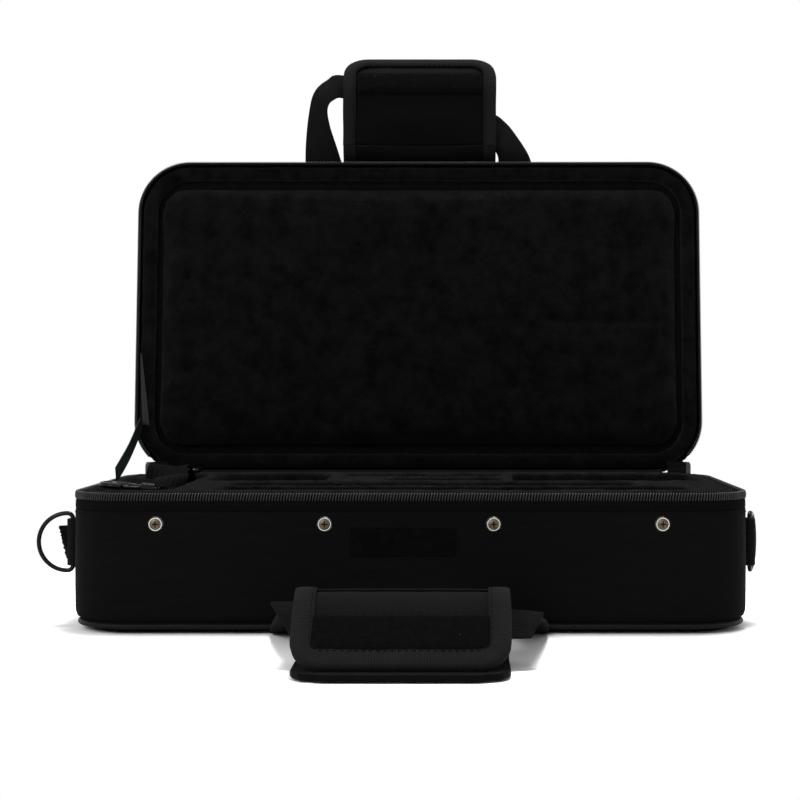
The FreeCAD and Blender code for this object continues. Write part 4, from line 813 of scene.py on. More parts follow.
@material_called("dull_brass", "brass")
def brass_material(brass):
    """Dull brass with painted shade in the cross recess: where the surface lies deeper than the head's face,
    the colour is painted near black and the metal is turned off.
    """
    brass.wear(scale=520.0, detail=5.0, smoothest=0.3, roughest=0.55, spread=0.5, depth=0.1 * MM)
    place = put(brass.tree, "ShaderNodeSeparateXYZ", {0: brass.coords.outputs["Object"]})
    face = -bpy.context.scene.case_sizes.half_depth
    # Painted shade: a mask that is one where the surface lies deeper than the head's face, inside the cross
    # recess.
    deep = put(brass.tree, "ShaderNodeMapRange",
               {0: place.outputs[1], 1: face - 1.2 * MM, 2: face - 1.05 * MM})
    brass.blend(deep.outputs[0], brass.base, (0.006, 0.005, 0.004, 1))
    # The painted shade also takes the metal away inside the recess.
    unshaded_metal = math_node(brass.tree, "SUBTRACT", 1.0, deep.outputs[0])
    brass.tree.links.new(unshaded_metal, brass.shader.inputs["Metallic"])


@material_called("plain_plywood", "wood", roughness=0.7)
def wood_material(wood):
    place = wood.coords.outputs["Object"]
    stretched = put(wood.tree, "ShaderNodeMapping", {"Vector": place, "Scale": (6.0, 60.0, 90.0)})
    rings = {"Vector": stretched.outputs[0], "Scale": 2.0, "Detail": 6.0, "Distortion": 0.8}
    grain = put(wood.tree, "ShaderNodeTexNoise", rings).outputs[0]
    wood.tint(grain, 0.5)
    wood.bump(grain, 0.2 * MM)


@material_called("black_backing", "backing")
def backing_material(cloth):
    fibres = cloth.texture("ShaderNodeTexNoise", Scale=500.0, Detail=4.0).outputs[0]
    cloth.tint(fibres, 0.5)
    cloth.bump(fibres, 0.2 * MM)


@material_called("open_foam", "foam")
def foam_material(foam):
    cells = foam.texture("ShaderNodeTexVoronoi", Scale=900.0).outputs["Distance"]
    foam.tint(cells, 0.5)
    foam.bump(cells, 0.4 * MM)


# Operators, one for each piece or group of like pieces

class CASE_OT_inner_parts(bpy.types.Operator):
    """Give wood, foam, wire and metal to the parts whose shape stays as it is"""
    bl_idname = "case.inner_parts"
    bl_label = "Boards, metal and wire"

    def execute(self, context):
        finishes = {
            wood_material: ("base_board", "front_rail", "lid_board"),
            backing_material: ("base_frame", "lid_frame"),
            foam_material: ("lid_foam",),
            wire_material: ("d_ring_left", "d_ring_right", "strap_glide", "hook_eye_front", "hook_eye_rear",
                            "snap_hook_front", "snap_hook_rear", "hook_gate_front", "hook_gate_rear",
                            "zip_stops", "zip_slider_left", "zip_slider_right", "zip_pull_left",
                            "zip_pull_right"),
            brass_material: ("front_screws",),
            nickel_material: ("cup_washers",),
        }
        for finish, names in finishes.items():
            for name in names:
                node = frame["nodes"][name]
                node.data.materials.clear()
                node.data.materials.append(finish())
        return {"FINISHED"}


class CASE_OT_covers(bpy.types.Operator):
    """Lay the nylon covers over both shells, with the groove and the stitches along their beaded seams"""
    bl_idname = "case.covers"
    bl_label = "Nylon covers"

    def execute(self, context):
        sizes = context.scene.case_sizes
        self.lower_cover(sizes)
        self.lid_cover(sizes)
        for name, inset, height, body, opened in (
                ("base_hem_stitches", -0.1 * MM, sizes.cover_top - 2.2 * MM, "base", False),
                ("base_seam_stitches", 0.25 * MM, 9.6 * MM, "base", False),
                ("lid_hem_stitches", -0.1 * MM, sizes.lid_hem + 2.2 * MM, "lid", True),
                ("lid_seam_stitches", 0.1 * MM, sizes.lid_top - 8.6 * MM, "lid", True)):
            line, faces = rim_line(inset, height)
            stitch_line(name, line, faces, body, opened=opened)
        return {"FINISHED"}

    def lower_cover(self, sizes):
        """From the flat bottom round the grooved seam, up the wall and over the hem."""
        turn, rim = sizes.bottom_round, sizes.cover_top
        bottom = [(turn - turn * math.sin(a), turn - turn * math.cos(a))
                  for a in (math.radians(d) for d in (0, 15, 30, 42, 48, 54, 60, 66, 78, 90))]
        bottom[4] = (bottom[4][0] + 0.35 * MM, bottom[4][1])
        bottom[6] = (bottom[6][0] + 1.2 * MM, bottom[6][1])
        wall = [(-0.12 * MM, 22 * MM), (-0.2 * MM, 34 * MM), (-0.12 * MM, 48 * MM), (0, 58 * MM)]
        hem = [(0, rim - 1.4 * MM), (0.15 * MM, rim - 0.4 * MM), (0.6 * MM, rim),
               (1.35 * MM, rim - 0.1 * MM), (1.4 * MM, rim - 12 * MM)]
        flat = [(turn + FLAT_BORDER, 0.0)]
        self.sew("base_cover_cloth", flat + bottom + wall + hem, 0.0, "base", "base_cover")

    def lid_cover(self, sizes):
        """From the hem up the wall, over the grooved seam and onto the flat top."""
        turn, top, rim = sizes.lid_round, sizes.lid_top, sizes.lid_hem
        edge = [(turn - turn * math.cos(a), top - turn + turn * math.sin(a))
                for a in (math.radians(d) for d in (0, 12, 24, 32, 40, 52, 66, 78, 90))]
        edge[3] = (edge[3][0] + 0.45 * MM, edge[3][1] - 0.1 * MM)
        hem = [(1.4 * MM, rim + 8 * MM), (1.35 * MM, rim + 0.1 * MM), (0.6 * MM, rim),
               (0.15 * MM, rim + 0.4 * MM), (0, rim + 1.4 * MM)]
        flat = [(turn + FLAT_BORDER, top)]
        self.sew("lid_cover_cloth", hem + edge + flat, top, "lid", "lid_cover")

    def sew(self, name, profile, level, body, node):
        cover = wrap_rim(name, profile)
        close_end(cover, level)
        merge(cover)
        finish_piece(cover, nylon_material(), body, [node], opened=body == "lid")


class CASE_OT_piping(bpy.types.Operator):
    """Run a cloth bead round the bottom seam and the lid's top seam"""
    bl_idname = "case.piping"
    bl_label = "Piping"

    def execute(self, context):
        sizes = context.scene.case_sizes
        inset, rise = 2.8 * MM, 3.9 * MM
        for name, height, body, node, opened in (
                ("base_bead", rise, "base", "base_piping", False),
                ("lid_bead", sizes.lid_top - rise, "lid", "lid_piping", True)):
            bead = wrap_rim(name, arc_profile((inset, height), sizes.bead_radius, 0, 360, 12))
            merge(bead)
            finish_piece(bead, piping_material(), body, [node], opened=opened, smooth=180)
        return {"FINISHED"}


class CASE_OT_zip(bpy.types.Operator):
    """Lay the zip's tapes and wind a coil of teeth along each"""
    bl_idname = "case.zip"
    bl_label = "Zip"

    def execute(self, context):
        sizes = context.scene.case_sizes
        whole = rim_length()
        for body, opened, reach, sign in (("base", False, 156.8 * MM, -1), ("lid", True, 170.6 * MM, 1)):
            end = back_distance(reach)
            near = sizes.parting + sign * 0.15 * MM
            far = near + sign * 4.5 * MM
            hem = far + sign * 4.9 * MM
            tape = [(0.45 * MM, hem), (0.32 * MM, hem - sign * 1.6 * MM), (0.45 * MM, far + sign * 0.8 * MM),
                    (0.75 * MM, far - sign * 0.4 * MM), (0.95 * MM, near + sign * 1.0 * MM)]
            sheet = wrap_rim(body + "_tape", tape, end, whole - end)
            thicken(sheet, 0.5 * MM)
            finish_piece(sheet, zip_tape_material(), body, [body + "_zip_tape"], opened=opened)
            line, faces = rim_line(0.2 * MM, far + sign * 1.5 * MM, end, whole - end)
            stitch_line(body + "_tape_stitches", line, faces, body, opened=opened, thick=0.3 * MM)
            self.coil(body, opened, end, whole - end, near, far)
        return {"FINISHED"}

    def coil(self, body, opened, start, end, near, far):
        """A spiral of wire: each turn climbs the front, crosses the head and runs down the back."""
        sizes = bpy.context.scene.case_sizes
        wire, pitch = sizes.coil_wire, sizes.coil_pitch
        turns = int((end - start - 2 * wire) / pitch)
        tip = near - math.copysign(wire, near - far)
        foot = far + math.copysign(wire, near - far)
        rise = tip - foot
        turn = ((0.0, 0.15 * MM, foot + 0.08 * rise), (0.18, 0.02 * MM, foot + 0.45 * rise),
                (0.36, 0.15 * MM, tip - 0.2 * rise), (0.45, 0.55 * MM, tip), (0.55, 1.3 * MM, tip),
                (0.68, 1.75 * MM, tip - 0.25 * rise), (0.84, 1.7 * MM, foot + 0.3 * rise),
                (0.95, 0.9 * MM, foot))
        points = []
        for number in range(turns):
            for share, inset, height in turn:
                spot, _ = rim_point(start + wire + (number + share) * pitch, inset)
                points.append((spot.x, spot.y, height))
        deselect()
        bpy.ops.curve.primitive_nurbs_path_add()
        path = bpy.context.object
        path.name = body + "_coil"
        path.data.splines.clear()
        spline = path.data.splines.new("POLY")
        spline.points.add(len(points) - 1)
        for point, place in zip(spline.points, points):
            point.co = (*place, 1)
        path.data.bevel_depth = wire
        path.data.bevel_resolution = 1
        path.data.use_fill_caps = True
        pick(path)
        bpy.ops.object.convert(target="MESH")
        coil = bpy.context.object
        finish_piece(coil, coil_material(), body, [body + "_zip_coil"], opened=opened,
                     smooth=70)
        core = wrap_rim(body + "_coil_cord", arc_profile((0.95 * MM, (near + far) / 2), 0.7 * MM, 0, 360, 8),
                        start + MM, end - MM)
        merge(core)
        finish_piece(core, zip_tape_material(), body, opened=opened, smooth=180)


class CASE_OT_hinge_cloth(bpy.types.Operator):
    """Lay the cloth hinge that bends from the lower shell round to the lid"""
    bl_idname = "case.hinge_cloth"
    bl_label = "Cloth hinge"

    def execute(self, context):
        sizes = context.scene.case_sizes
        whole = rim_length()
        end = back_distance(154.2 * MM)
        stations = [station - whole for station in rim_stations(whole - end, whole)]
        stations += rim_stations(0.0, end)[1:]
        overlap, bend, rows = 0.6 * MM, 7 * MM, 14
        low, high = sizes.cover_top - overlap, sizes.lid_hem + overlap

        def place(column, row):
            height = low + (high - low) * row / rows
            inset = 0.75 * MM if 1 < row < rows - 1 else 0.5 * MM
            station = stations[column]
            point, _ = rim_point(station % whole if station < 0 else station, inset)
            spot = Vector((point.x, point.y, height))
            share = min(max((height - sizes.parting) / bend + 0.5, 0), 1)
            turn = Matrix.Rotation(-OPEN_ANGLE * share, 4, "X")
            bent = Matrix.Translation(HINGE) @ turn @ Matrix.Translation(-HINGE) @ spot
            return bent, (station, height)

        gusset = lay_sheet("hinge_gusset", len(stations) - 1, rows, place)
        thicken(gusset, 0.8 * MM)
        finish_piece(gusset, nylon_material(), None, ["base_hinge_leaf", "lid_hinge_leaf"])
        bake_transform(gusset)
        return {"FINISHED"}


def copy_node(name, new_name):
    """A merged copy of a CAD node's mesh, to be worked on."""
    deselect()
    node = frame["nodes"][name]
    copy = bpy.data.objects.new(new_name, node.data.copy())
    bpy.context.scene.collection.objects.link(copy)
    merge(copy, 1e-5, recalculate=False)
    return copy


def soften(piece, voxel, passes, grain, strength, mid_level):
    """Round off a stuffed piece and make its surface uneven."""
    add_modifier(piece, "REMESH", mode="VOXEL", voxel_size=voxel)
    add_modifier(piece, "SMOOTH", factor=0.6, iterations=passes)
    texture = bpy.data.textures.new("uneven_pile", "CLOUDS")
    texture.noise_scale = grain
    add_modifier(piece, "DISPLACE", texture=texture, strength=strength, mid_level=mid_level,
                 texture_coords="LOCAL")


class CASE_OT_plush_insert(bpy.types.Operator):
    """Cover the fitted insert in plush: its edges softened, its pile uneven"""
    bl_idname = "case.plush_insert"
    bl_label = "Plush insert"

    def execute(self, context):
        beds = [f"plush_{name}" for name in ("strap_bay", "lower_joint_bed", "upper_joint_bed", "reed_bay",
                                             "barrel_bed", "mouthpiece_bed", "bell_bed")]
        copies = [copy_node(name, "plush_bed") for name in beds]
        insert = pick(copies[0])
        for copy in copies:
            copy.select_set(True)
        bpy.ops.object.join()
        voxel = 2.0 * MM
        soften(insert, voxel, passes=5, grain=12 * MM, strength=0.9 * MM, mid_level=0.62)
        finish_piece(insert, insert_plush_painted_light_material(), "base", beds, smooth=180)
        return {"FINISHED"}


def press(piece):
    """Give a soft piece of the lid a mesh of its own."""
    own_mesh(piece)


class CASE_OT_lid_lining(bpy.types.Operator):
    """Sew the lid's plush lining: a soft roll round the rim and a padded panel inside it"""
    bl_idname = "case.lid_lining"
    bl_label = "Lid lining"

    def execute(self, context):
        self.roll()
        self.panel()
        return {"FINISHED"}

    def roll(self):
        roll = copy_node("lid_rim_roll", "lining_roll")
        soften(roll, 1.5 * MM, passes=6, grain=14 * MM, strength=0.8 * MM, mid_level=0.6)
        finish_piece(roll, plush_material(), "lid", ["lid_rim_roll"], smooth=180)
        press(roll)

    def panel(self):
        panel = copy_node("lid_panel", "lining_panel")
        add_modifier(panel, "REMESH", mode="VOXEL", voxel_size=3 * MM)
        self.puff(panel)
        add_modifier(panel, "SUBSURF", levels=1, render_levels=1)
        self.crease(panel)
        panel.data.transform(Matrix.Diagonal((1.006, 1, 1, 1)))
        finish_piece(panel, plush_material(), "lid", ["lid_panel"], smooth=180)
        press(panel)

    def puff(self, panel):
        """Blow the panel up a little as cloth, and keep each point near where it was."""
        add_modifier(panel, "SMOOTH", factor=0.5, iterations=2)
        before = [vertex.co.copy() for vertex in panel.data.vertices]
        inward = (OPENED.to_3x3() @ Vector((0, 0, -1))).normalized()
        back = max(vertex.co.dot(inward) for vertex in panel.data.vertices)
        pick(panel)
        cloth = panel.modifiers.new("Cloth", "CLOTH")
        cloth.settings.use_pressure = True
        cloth.settings.uniform_pressure_force = 4.0
        cloth.settings.effector_weights.gravity = 0.0
        cloth.settings.quality = 5
        scene = bpy.context.scene
        for number in range(1, 21):
            scene.frame_set(number)
        bpy.ops.object.modifier_apply(modifier=cloth.name)
        scene.frame_set(1)
        furthest, glued = 2.2 * MM, back - 6 * MM
        for vertex, old in zip(panel.data.vertices, before):
            move = vertex.co - old
            if move.length > furthest:
                move = move.normalized() * furthest
            outwards = move.dot(inward)
            if old.dot(inward) < glued and outwards < 0:
                move = move - inward * outwards
            vertex.co = old + move

    def crease(self, panel):
        """Press in the pull loop's slit near the right edge and the pile line beside it."""
        inward = (OPENED.to_3x3() @ Vector((0, 0, 1))).normalized()
        marks = ((Vector((155.0, 0, 157.0)), Vector((155.0, 0, 184.0)), 1.0, 1.6),
                 (Vector((86.0, 0, 170.5)), Vector((150.0, 0, 169.0)), 0.7, 3.0))
        for vertex in panel.data.vertices:
            flat = Vector((vertex.co.x, 0, vertex.co.z)) / MM
            dent = 0.0
            for first, last, deep, wide in marks:
                run = last - first
                share = min(max((flat - first).dot(run) / run.length_squared, 0), 1)
                gap = (flat - first - run * share).length
                dent += deep * math.exp(-(gap / wide) ** 2)
            broad = noise.noise(vertex.co * 24.0)
            vertex.co += inward * (dent * MM * 1.2 + broad * 0.5 * MM)


class CASE_OT_loop_patch(bpy.types.Operator):
    """Sew the fuzzy loop patch on the front"""
    bl_idname = "case.loop_patch"
    bl_label = "Front loop patch"

    def execute(self, context):
        low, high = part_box("front_loop_patch")
        centre = (low + high) / 2
        half = (high - low) / 2
        columns, rows = 44, 14

        def place(column, row):
            x, z = (column / columns - 0.5) * 2, (row / rows - 0.5) * 2
            edge = max(abs(x) ** 24, abs(z) ** 8)
            rough = noise.noise(Vector((x * 14, z * 4, 3.0))) * 0.35 * MM
            y = high.y - 0.15 * MM - (half.y * 1.5 + rough) * (1 - edge)
            ragged = 1 + 0.012 * noise.noise(Vector((x * 9, z * 9, 7.0)))
            spot = Vector((centre.x + half.x * x * ragged, y, centre.z + half.z * z * ragged))
            return spot, (half.x * x, half.z * z)

        patch = lay_sheet("loop_patch", columns, rows, place)
        add_modifier(patch, "SUBSURF", levels=1, render_levels=1)
        finish_piece(patch, hook_tape_material(), "base", ["front_loop_patch"], smooth=180)
        pad = 1.6 * MM
        corners = [Vector((centre.x + sx * (half.x - pad), low.y - 0.1 * MM, centre.z + sz * (half.z - pad)))
                   for sx, sz in ((-1, -1), (1, -1), (1, 1), (-1, 1), (-1, -1))]
        stitch_line("loop_patch_stitches", dotted(corners), (0, -1, 0), "base", thick=0.35 * MM)
        return {"FINISHED"}


class CASE_OT_ring_tabs(bpy.types.Operator):
    """Fold a webbing tab round each side ring and sew it to the wall"""
    bl_idname = "case.ring_tabs"
    bl_label = "Ring tabs"

    def execute(self, context):
        sizes = context.scene.case_sizes
        for word, side in (("left", -1), ("right", 1)):
            low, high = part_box("d_ring_tab_" + word)
            bar = Vector(JOINTS[f"ring_{word}_swing"]["pos_m"])
            wall = side * sizes.half_length
            reach = 2.35 * MM
            flat = ((wall + side * 0.7 * MM, high.y + 1 * MM), (wall + side * 0.7 * MM, bar.y + 9 * MM),
                    (bar.x - side * reach, bar.y + 1 * MM),
                    (bar.x - side * reach * 0.7, bar.y - reach * 0.75),
                    (bar.x, bar.y - reach), (bar.x + side * reach * 0.75, bar.y - reach * 0.7),
                    (bar.x + side * reach, bar.y), (bar.x + side * 1.2 * MM, bar.y + 4.5 * MM),
                    (wall + side * 2.5 * MM, bar.y + 9 * MM), (wall + side * 2.3 * MM, high.y + 1 * MM))
            route = [Vector((x, y, bar.z)) for x, y in flat]
            tab = lay_strap(f"ring_tab_{word}", smooth_line(route, 44), (0, 0, 1), high.z - low.z, 1.35 * MM)
            finish_piece(tab, webbing_material(), "base", ["d_ring_tab_" + word])
            near, far = bar.y + 9 * MM, high.y - 1 * MM
            face = wall + side * 3.2 * MM
            half = (high.z - low.z) / 2 - 3 * MM
            corners = [(near, -half), (far, -half), (far, half), (near, half), (near, -half), (far, half)]
            line = dotted([Vector((face, y, bar.z + z)) for y, z in corners])
            stitch_line(f"ring_tab_{word}_stitches", line, (side, 0, 0), "base")
        self.frayed_end()
        return {"FINISHED"}

    def frayed_end(self):
        """The loose, frayed end of webbing that stands off beside the left tab."""
        low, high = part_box("d_ring_tab_left")
        top, foot = high.z - 4 * MM, low.z + 0.5 * MM
        shape = random.Random(4)
        frays = [shape.uniform(-1, 1) for _ in range(40)]
        columns, rows = 24, 4

        def place(column, row):
            share = column / columns
            z = top + (foot - top) * share
            wide = 4.4 * MM * (1 - share) ** 0.8 + 0.4 * MM
            fray = frays[(column * 3 + row) % len(frays)] * (0.45 * MM if row == rows else 0.1 * MM)
            x = low.x + 0.3 * MM - wide * row / rows - fray
            y = low.y + 4 * MM + 3 * MM * share + 1.2 * MM * math.sin(row + share * 5)
            return Vector((x, y, z)), (wide * row / rows, z)

        flap = lay_sheet("ring_tab_frayed_end", columns, rows, place)
        thicken(flap, 0.9 * MM)
        finish_piece(flap, webbing_material(), "base")


def rounded_half(half, corner, over):
    """Half the width of a cloth at a spot that lies a given way into its rounded corners."""
    if over <= 0:
        return half
    return half - corner + math.sqrt(max(corner ** 2 - over ** 2, 0.0))


def tucked(depth, share, along, fade):
    """How deep a wrap is drawn in: most in its middle, and less the further it lies from its fold."""
    return depth * max(1 - share ** 2 * 1.5, 0) * math.exp(-(along / fade) ** 2)


class HandWrap:
    """A padded hand wrap's flap: a surface rolled out along a line, with rounded free corners."""

    def __init__(self, word, line, outward, binding):
        sizes = bpy.context.scene.case_sizes
        self.word = word
        self.line = line
        self.lengths = running_lengths(line)
        self.total = self.lengths[-1]
        self.half_width = sizes.wrap_half_width
        self.corner = sizes.wrap_corner
        self.thick = sizes.wrap_thickness
        self.outward = outward
        self.binding = binding

    def spot(self, across, along, lift):
        """A point on the flap: across it, along it and lifted off its outer face."""
        index, share = locate(self.lengths, along)
        before, after = self.line[index], self.line[index + 1]
        up = (after - before).normalized().cross(Vector((1, 0, 0))).normalized() * self.outward
        here = before.lerp(after, share) + up * lift
        return Vector((across, here.y, here.z))

    def border(self, steps=72):
        """Points round the free edge: each with the direction inwards, and how far round it lies."""
        w, r, total = self.half_width, self.corner, self.total
        run = total - r
        arc = math.pi * r / 2
        spans = [run, arc, 2 * (w - r), arc, run]
        points = []
        for step in range(steps + 1):
            goal = sum(spans) * step / steps
            if goal <= spans[0]:
                point = (-w, goal, 1, 0)
            elif goal <= spans[0] + arc:
                a = (goal - spans[0]) / r
                point = (-w + r - r * math.cos(a), run + r * math.sin(a), math.cos(a), -math.sin(a))
            elif goal <= sum(spans[:3]):
                point = (-w + r + goal - spans[0] - arc, total, 0, -1)
            elif goal <= sum(spans[:4]):
                a = (goal - sum(spans[:3])) / r
                point = (w - r + r * math.sin(a), run + r * math.cos(a), -math.sin(a), -math.cos(a))
            else:
                point = (w, run - (goal - sum(spans[:4])), -1, 0)
            points.append((*point, goal))
        return points

    def sew(self, strip_word, foot, crown, tuck=0.0):
        """Sew the whole flap. foot and crown say where its hook or loop strip begins and ends along it."""
        self.pad(tuck)
        self.bind()
        self.strip(strip_word, foot, crown)
        self.stitch(foot)

    def pad(self, tuck):
        """The padded field inside the bound edge, drawn in by tuck where it hangs from its fold."""
        rows, columns = 30, 36

        def place(column, row):
            along = self.total * row / rows
            share = 2 * column / columns - 1
            over = min(along, self.total - 0.6 * MM) - (self.total - self.corner)
            reach = rounded_half(self.half_width, self.corner, over) - 1.2 * MM
            crown = (1 - abs(share) ** 3) * (1 - abs(2 * row / rows - 1) ** 4)
            waver = noise.noise(Vector((share * 3, along * 60, 1.0))) * 0.35 * MM
            lift = crown * 0.9 * MM + waver - self.thick * 0.35 - tucked(tuck, share, along, 11 * MM)
            return self.spot(share * reach, along, lift), (share * reach, along)

        pad = lay_sheet(f"{self.word}_pad", columns, rows, place)
        thicken(pad, self.thick * 0.6, self.outward, soft=True)
        node = self.word.replace("flap", "wrap_flap")
        finish_piece(pad, padding_material(), self.word, [node], smooth=60)

    def bind(self):
        """The tape bound round the free edge."""
        border, width, thick = self.border(), self.binding, self.thick
        profile = ((width, 0.15 * MM), (width * 0.9, 0.55 * MM), (width * 0.5, 0.75 * MM),
                   (width * 0.12, 0.5 * MM), (0.0, -0.2 * MM), (-0.25 * MM, -thick / 2),
                   (0.0, -thick + 0.1 * MM), (width * 0.14, -thick - 0.1 * MM),
                   (width * 0.6, -thick - 0.1 * MM), (width, -thick + 0.4 * MM))
        spread = running_lengths([Vector((inset, lift, 0)) for inset, lift in profile])

        def place(column, row):
            x, along, in_x, in_along, goal = border[column]
            wave = noise.noise(Vector((goal * 55, row * 0.7, 9.0))) * 0.3 * MM
            inset = profile[row][0] + wave
            if in_x * in_along != 0:
                inset = min(inset, self.corner * 0.92)
            lift = profile[row][1] + wave * 0.6
            return self.spot(x + in_x * inset, along + in_along * inset, lift), (goal, spread[row])

        tape = thicken(lay_sheet(f"{self.word}_tape", len(border) - 1, len(profile) - 1, place), 0.45 * MM)
        finish_piece(tape, binding_material(), self.word, [f"{self.word}_binding"], smooth=60)

    def strip(self, strip_word, foot, crown):
        """The hook or loop strip across the flap."""
        half = bpy.context.scene.case_sizes.strip_half_width
        columns, rows = 48, 14

        def place(column, row):
            x, z = 2 * column / columns - 1, 2 * row / rows - 1
            edge = max(abs(x) ** 20, abs(z) ** 8)
            rough = noise.noise(Vector((x * 20, z * 6, 5.0))) * 0.35 * MM
            along = (foot + crown) / 2 + (crown - foot) / 2 * z
            return self.spot(half * x, along, 0.45 * MM + (1.0 * MM + rough) * (1 - edge)), (half * x, along)

        cover = lay_sheet(f"{self.word}_{strip_word}s", columns, rows, place)
        thicken(cover, 0.5 * MM, self.outward, soft=True)
        node = self.word.replace("flap", f"{strip_word}_strip")
        finish_piece(cover, hook_tape_material(), self.word, [node], smooth=80)

    def stitch(self, foot):
        """Stitches along the tape's inner edge, and a seam below the strip."""
        inner, outer, low = [], [], foot - 1.8 * MM
        for x, along, in_x, in_along, _ in self.border():
            for line, share, lift in ((inner, 0.86, 1.0 * MM), (outer, 0.6, 2.0 * MM)):
                inset = self.binding * share
                line.append(self.spot(x + in_x * inset, along + in_along * inset, lift))
        faces = [(b - a).normalized() for a, b in zip(inner, outer)]
        stitch_line(f"{self.word}_stitches", inner, faces, self.word)
        half = bpy.context.scene.case_sizes.strip_half_width
        seam = [self.spot(half * (k / 12 - 1), low, 0.2 * MM) for k in range(25)]
        above = (self.spot(0, low, 1.2 * MM) - seam[12]).normalized()
        stitch_line(f"{self.word}_seam", seam, above, self.word, thick=0.35 * MM)


def square_to(route, row):
    """The direction square to a leaf's route at one of its points, in towards the hand."""
    before, after = route[max(row - 1, 0)], route[min(row + 1, len(route) - 1)]
    return Vector((1, 0, 0)).cross(after - before).normalized()


def sew_leaf(handle, route, place, taped, binding):
    """A hand wrap's back leaf, and the tapes sewn along its two side edges."""
    sizes = bpy.context.scene.case_sizes
    leaf = lay_sheet(f"{handle}_wrap_pad", LEAF_COLUMNS, len(route) - 1, place)
    thicken(leaf, sizes.wrap_thickness - 0.8 * MM, 1, edge=1.0 * MM, segments=3)
    for vertex in leaf.data.vertices:
        vertex.co.z = max(vertex.co.z, 0.2 * MM)
    finish_piece(leaf, padding_material(), f"{handle}_handle", [f"{handle}_wrap_leaf"], smooth=60)
    for word, side in (("left", -1), ("right", 1)):
        centre = side * (sizes.wrap_half_width - binding / 2 + 0.2 * MM)
        line = [Vector((centre, spot.y, spot.z)) for spot in taped]
        tape = lay_strap(f"{handle}_leaf_tape_{word}", line, (1, 0, 0), binding, 0.5 * MM, rows=4)
        finish_piece(tape, binding_material(), f"{handle}_handle")


class CASE_OT_base_handle(bpy.types.Operator):
    """Sew the lower carrying handle: webbing, padded hand wrap, its binding and its loop strip"""
    bl_idname = "case.base_handle"
    bl_label = "Lower handle"

    def execute(self, context):
        sizes = context.scene.case_sizes
        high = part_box("base_handle_anchors")[1]
        crest_y = BASE_FOLD.y + 2.5 * MM
        for word, side, crest_z, begin, drawn_in, pinch in (("left", -1, 26 * MM, 100 * MM, 13, 0.5),
                                                            ("right", 1, 22 * MM, 120 * MM, 6.4, 0.26)):
            seam = side * 60 * MM
            edges = [Vector((seam, high.y - 1 * MM, 1.1 * MM)),
                     Vector((seam, BASE_SEAM.y + 2 * MM, 1.3 * MM)),
                     Vector((seam - side * 0.6 * MM, -112 * MM, 4.8 * MM)),
                     Vector((seam - side * 1.5 * MM, -132 * MM, 10.6 * MM)),
                     Vector((seam - side * 3.6 * MM, -165 * MM, crest_z * 0.72)),
                     Vector((seam - side * 6.4 * MM, crest_y - 3.2 * MM, crest_z))]
            line = smooth_line(edges, 40)
            across = []
            for number in range(41):
                share = max(number / 40 - 0.25, 0) / 0.75
                across.append(Vector((1, 0, 0.14 * share * side)).normalized())
            leg = lay_strap(f"handle_leg_{word}", line, across, sizes.webbing_width, sizes.webbing_thickness,
                            crown=-0.5 * MM)
            for vertex in leg.data.vertices:
                share = min(max((-vertex.co.y - begin) / (80 * MM), 0), 1)
                middle = side * (60 - drawn_in * share) * MM
                vertex.co.x = middle + (vertex.co.x - middle) * (1 - pinch * share)
            replaced = ["base_handle_webbing", "base_handle_anchors"] if side < 0 else []
            finish_piece(leg, webbing_material(), "base_handle", replaced)
        self.cross_band(crest_y)
        self.wrap()
        return {"FINISHED"}

    def cross_band(self, crest_y):
        """The band through the wrap, its ends folded over slantwise, the right one hanging lower."""
        sizes = bpy.context.scene.case_sizes
        columns, rows = 60, 10

        def place(column, row):
            share, drop = 2 * column / columns - 1, row / rows
            reach = (61.5 - 10.7 * drop if share < 0 else 65.5 - 6.0 * drop) * MM
            curl = 2.2 * MM * math.cos(drop * math.pi) * abs(share) ** 6
            crest = (28.6 - 2.45 * share - 1.4 * share ** 2) * MM
            foot = 14.4 * MM
            y = crest_y - 0.4 * MM - 13.0 * MM * drop - curl
            spot = Vector((share * reach, y, crest + (foot - crest) * drop))
            return spot, (share * reach, drop * sizes.webbing_width)

        band = lay_sheet("handle_cross_band", columns, rows, place)
        thicken(band, sizes.webbing_thickness, edge=0.4 * MM)
        finish_piece(band, webbing_material(), "base_handle")

    def wrap(self):
        sizes = bpy.context.scene.case_sizes
        fold, corner = 18 * MM, 16 * MM
        front, centre = WRAP_LOW.y, Vector((0, BASE_FOLD.y, fold))
        route = [Vector((0, front + (centre.y - front) * k / 10, 0.0)) for k in range(11)]
        route += [centre + Vector((0, math.sin(a), -math.cos(a))) * fold
                  for a in (math.pi * k / 18 for k in range(1, 19))]
        lengths = running_lengths(route)

        def place(column, row):
            share = 2 * column / LEAF_COLUMNS - 1
            reach = rounded_half(sizes.wrap_half_width, corner, corner - lengths[row])
            puff = 0.5 * MM * (1 - abs(share) ** 4) if row > 12 else 0
            spot = Vector((share * reach, 0, 0)) + route[row] + square_to(route, row) * (0.6 * MM - puff)
            return spot, (share * reach, lengths[row])

        sew_leaf("base", route, place, route[5:], sizes.base_binding)
        bend, slope, straight = 22 * MM, math.radians(42), 35.8 * MM
        pivot = Vector((0, BASE_FOLD.y, 2 * fold - bend))
        line = [pivot + Vector((0, -math.sin(a), math.cos(a))) * bend
                for a in (slope * k / 14 for k in range(15))]
        ahead = Vector((0, -math.cos(slope), -math.sin(slope)))
        line += [line[-1] + ahead * straight * (k + 1) / 14 for k in range(14)]
        wrap = HandWrap("base_flap", line, 1, sizes.base_binding)
        wrap.sew("loop", wrap.total - 29.3 * MM, wrap.total - 8.8 * MM)


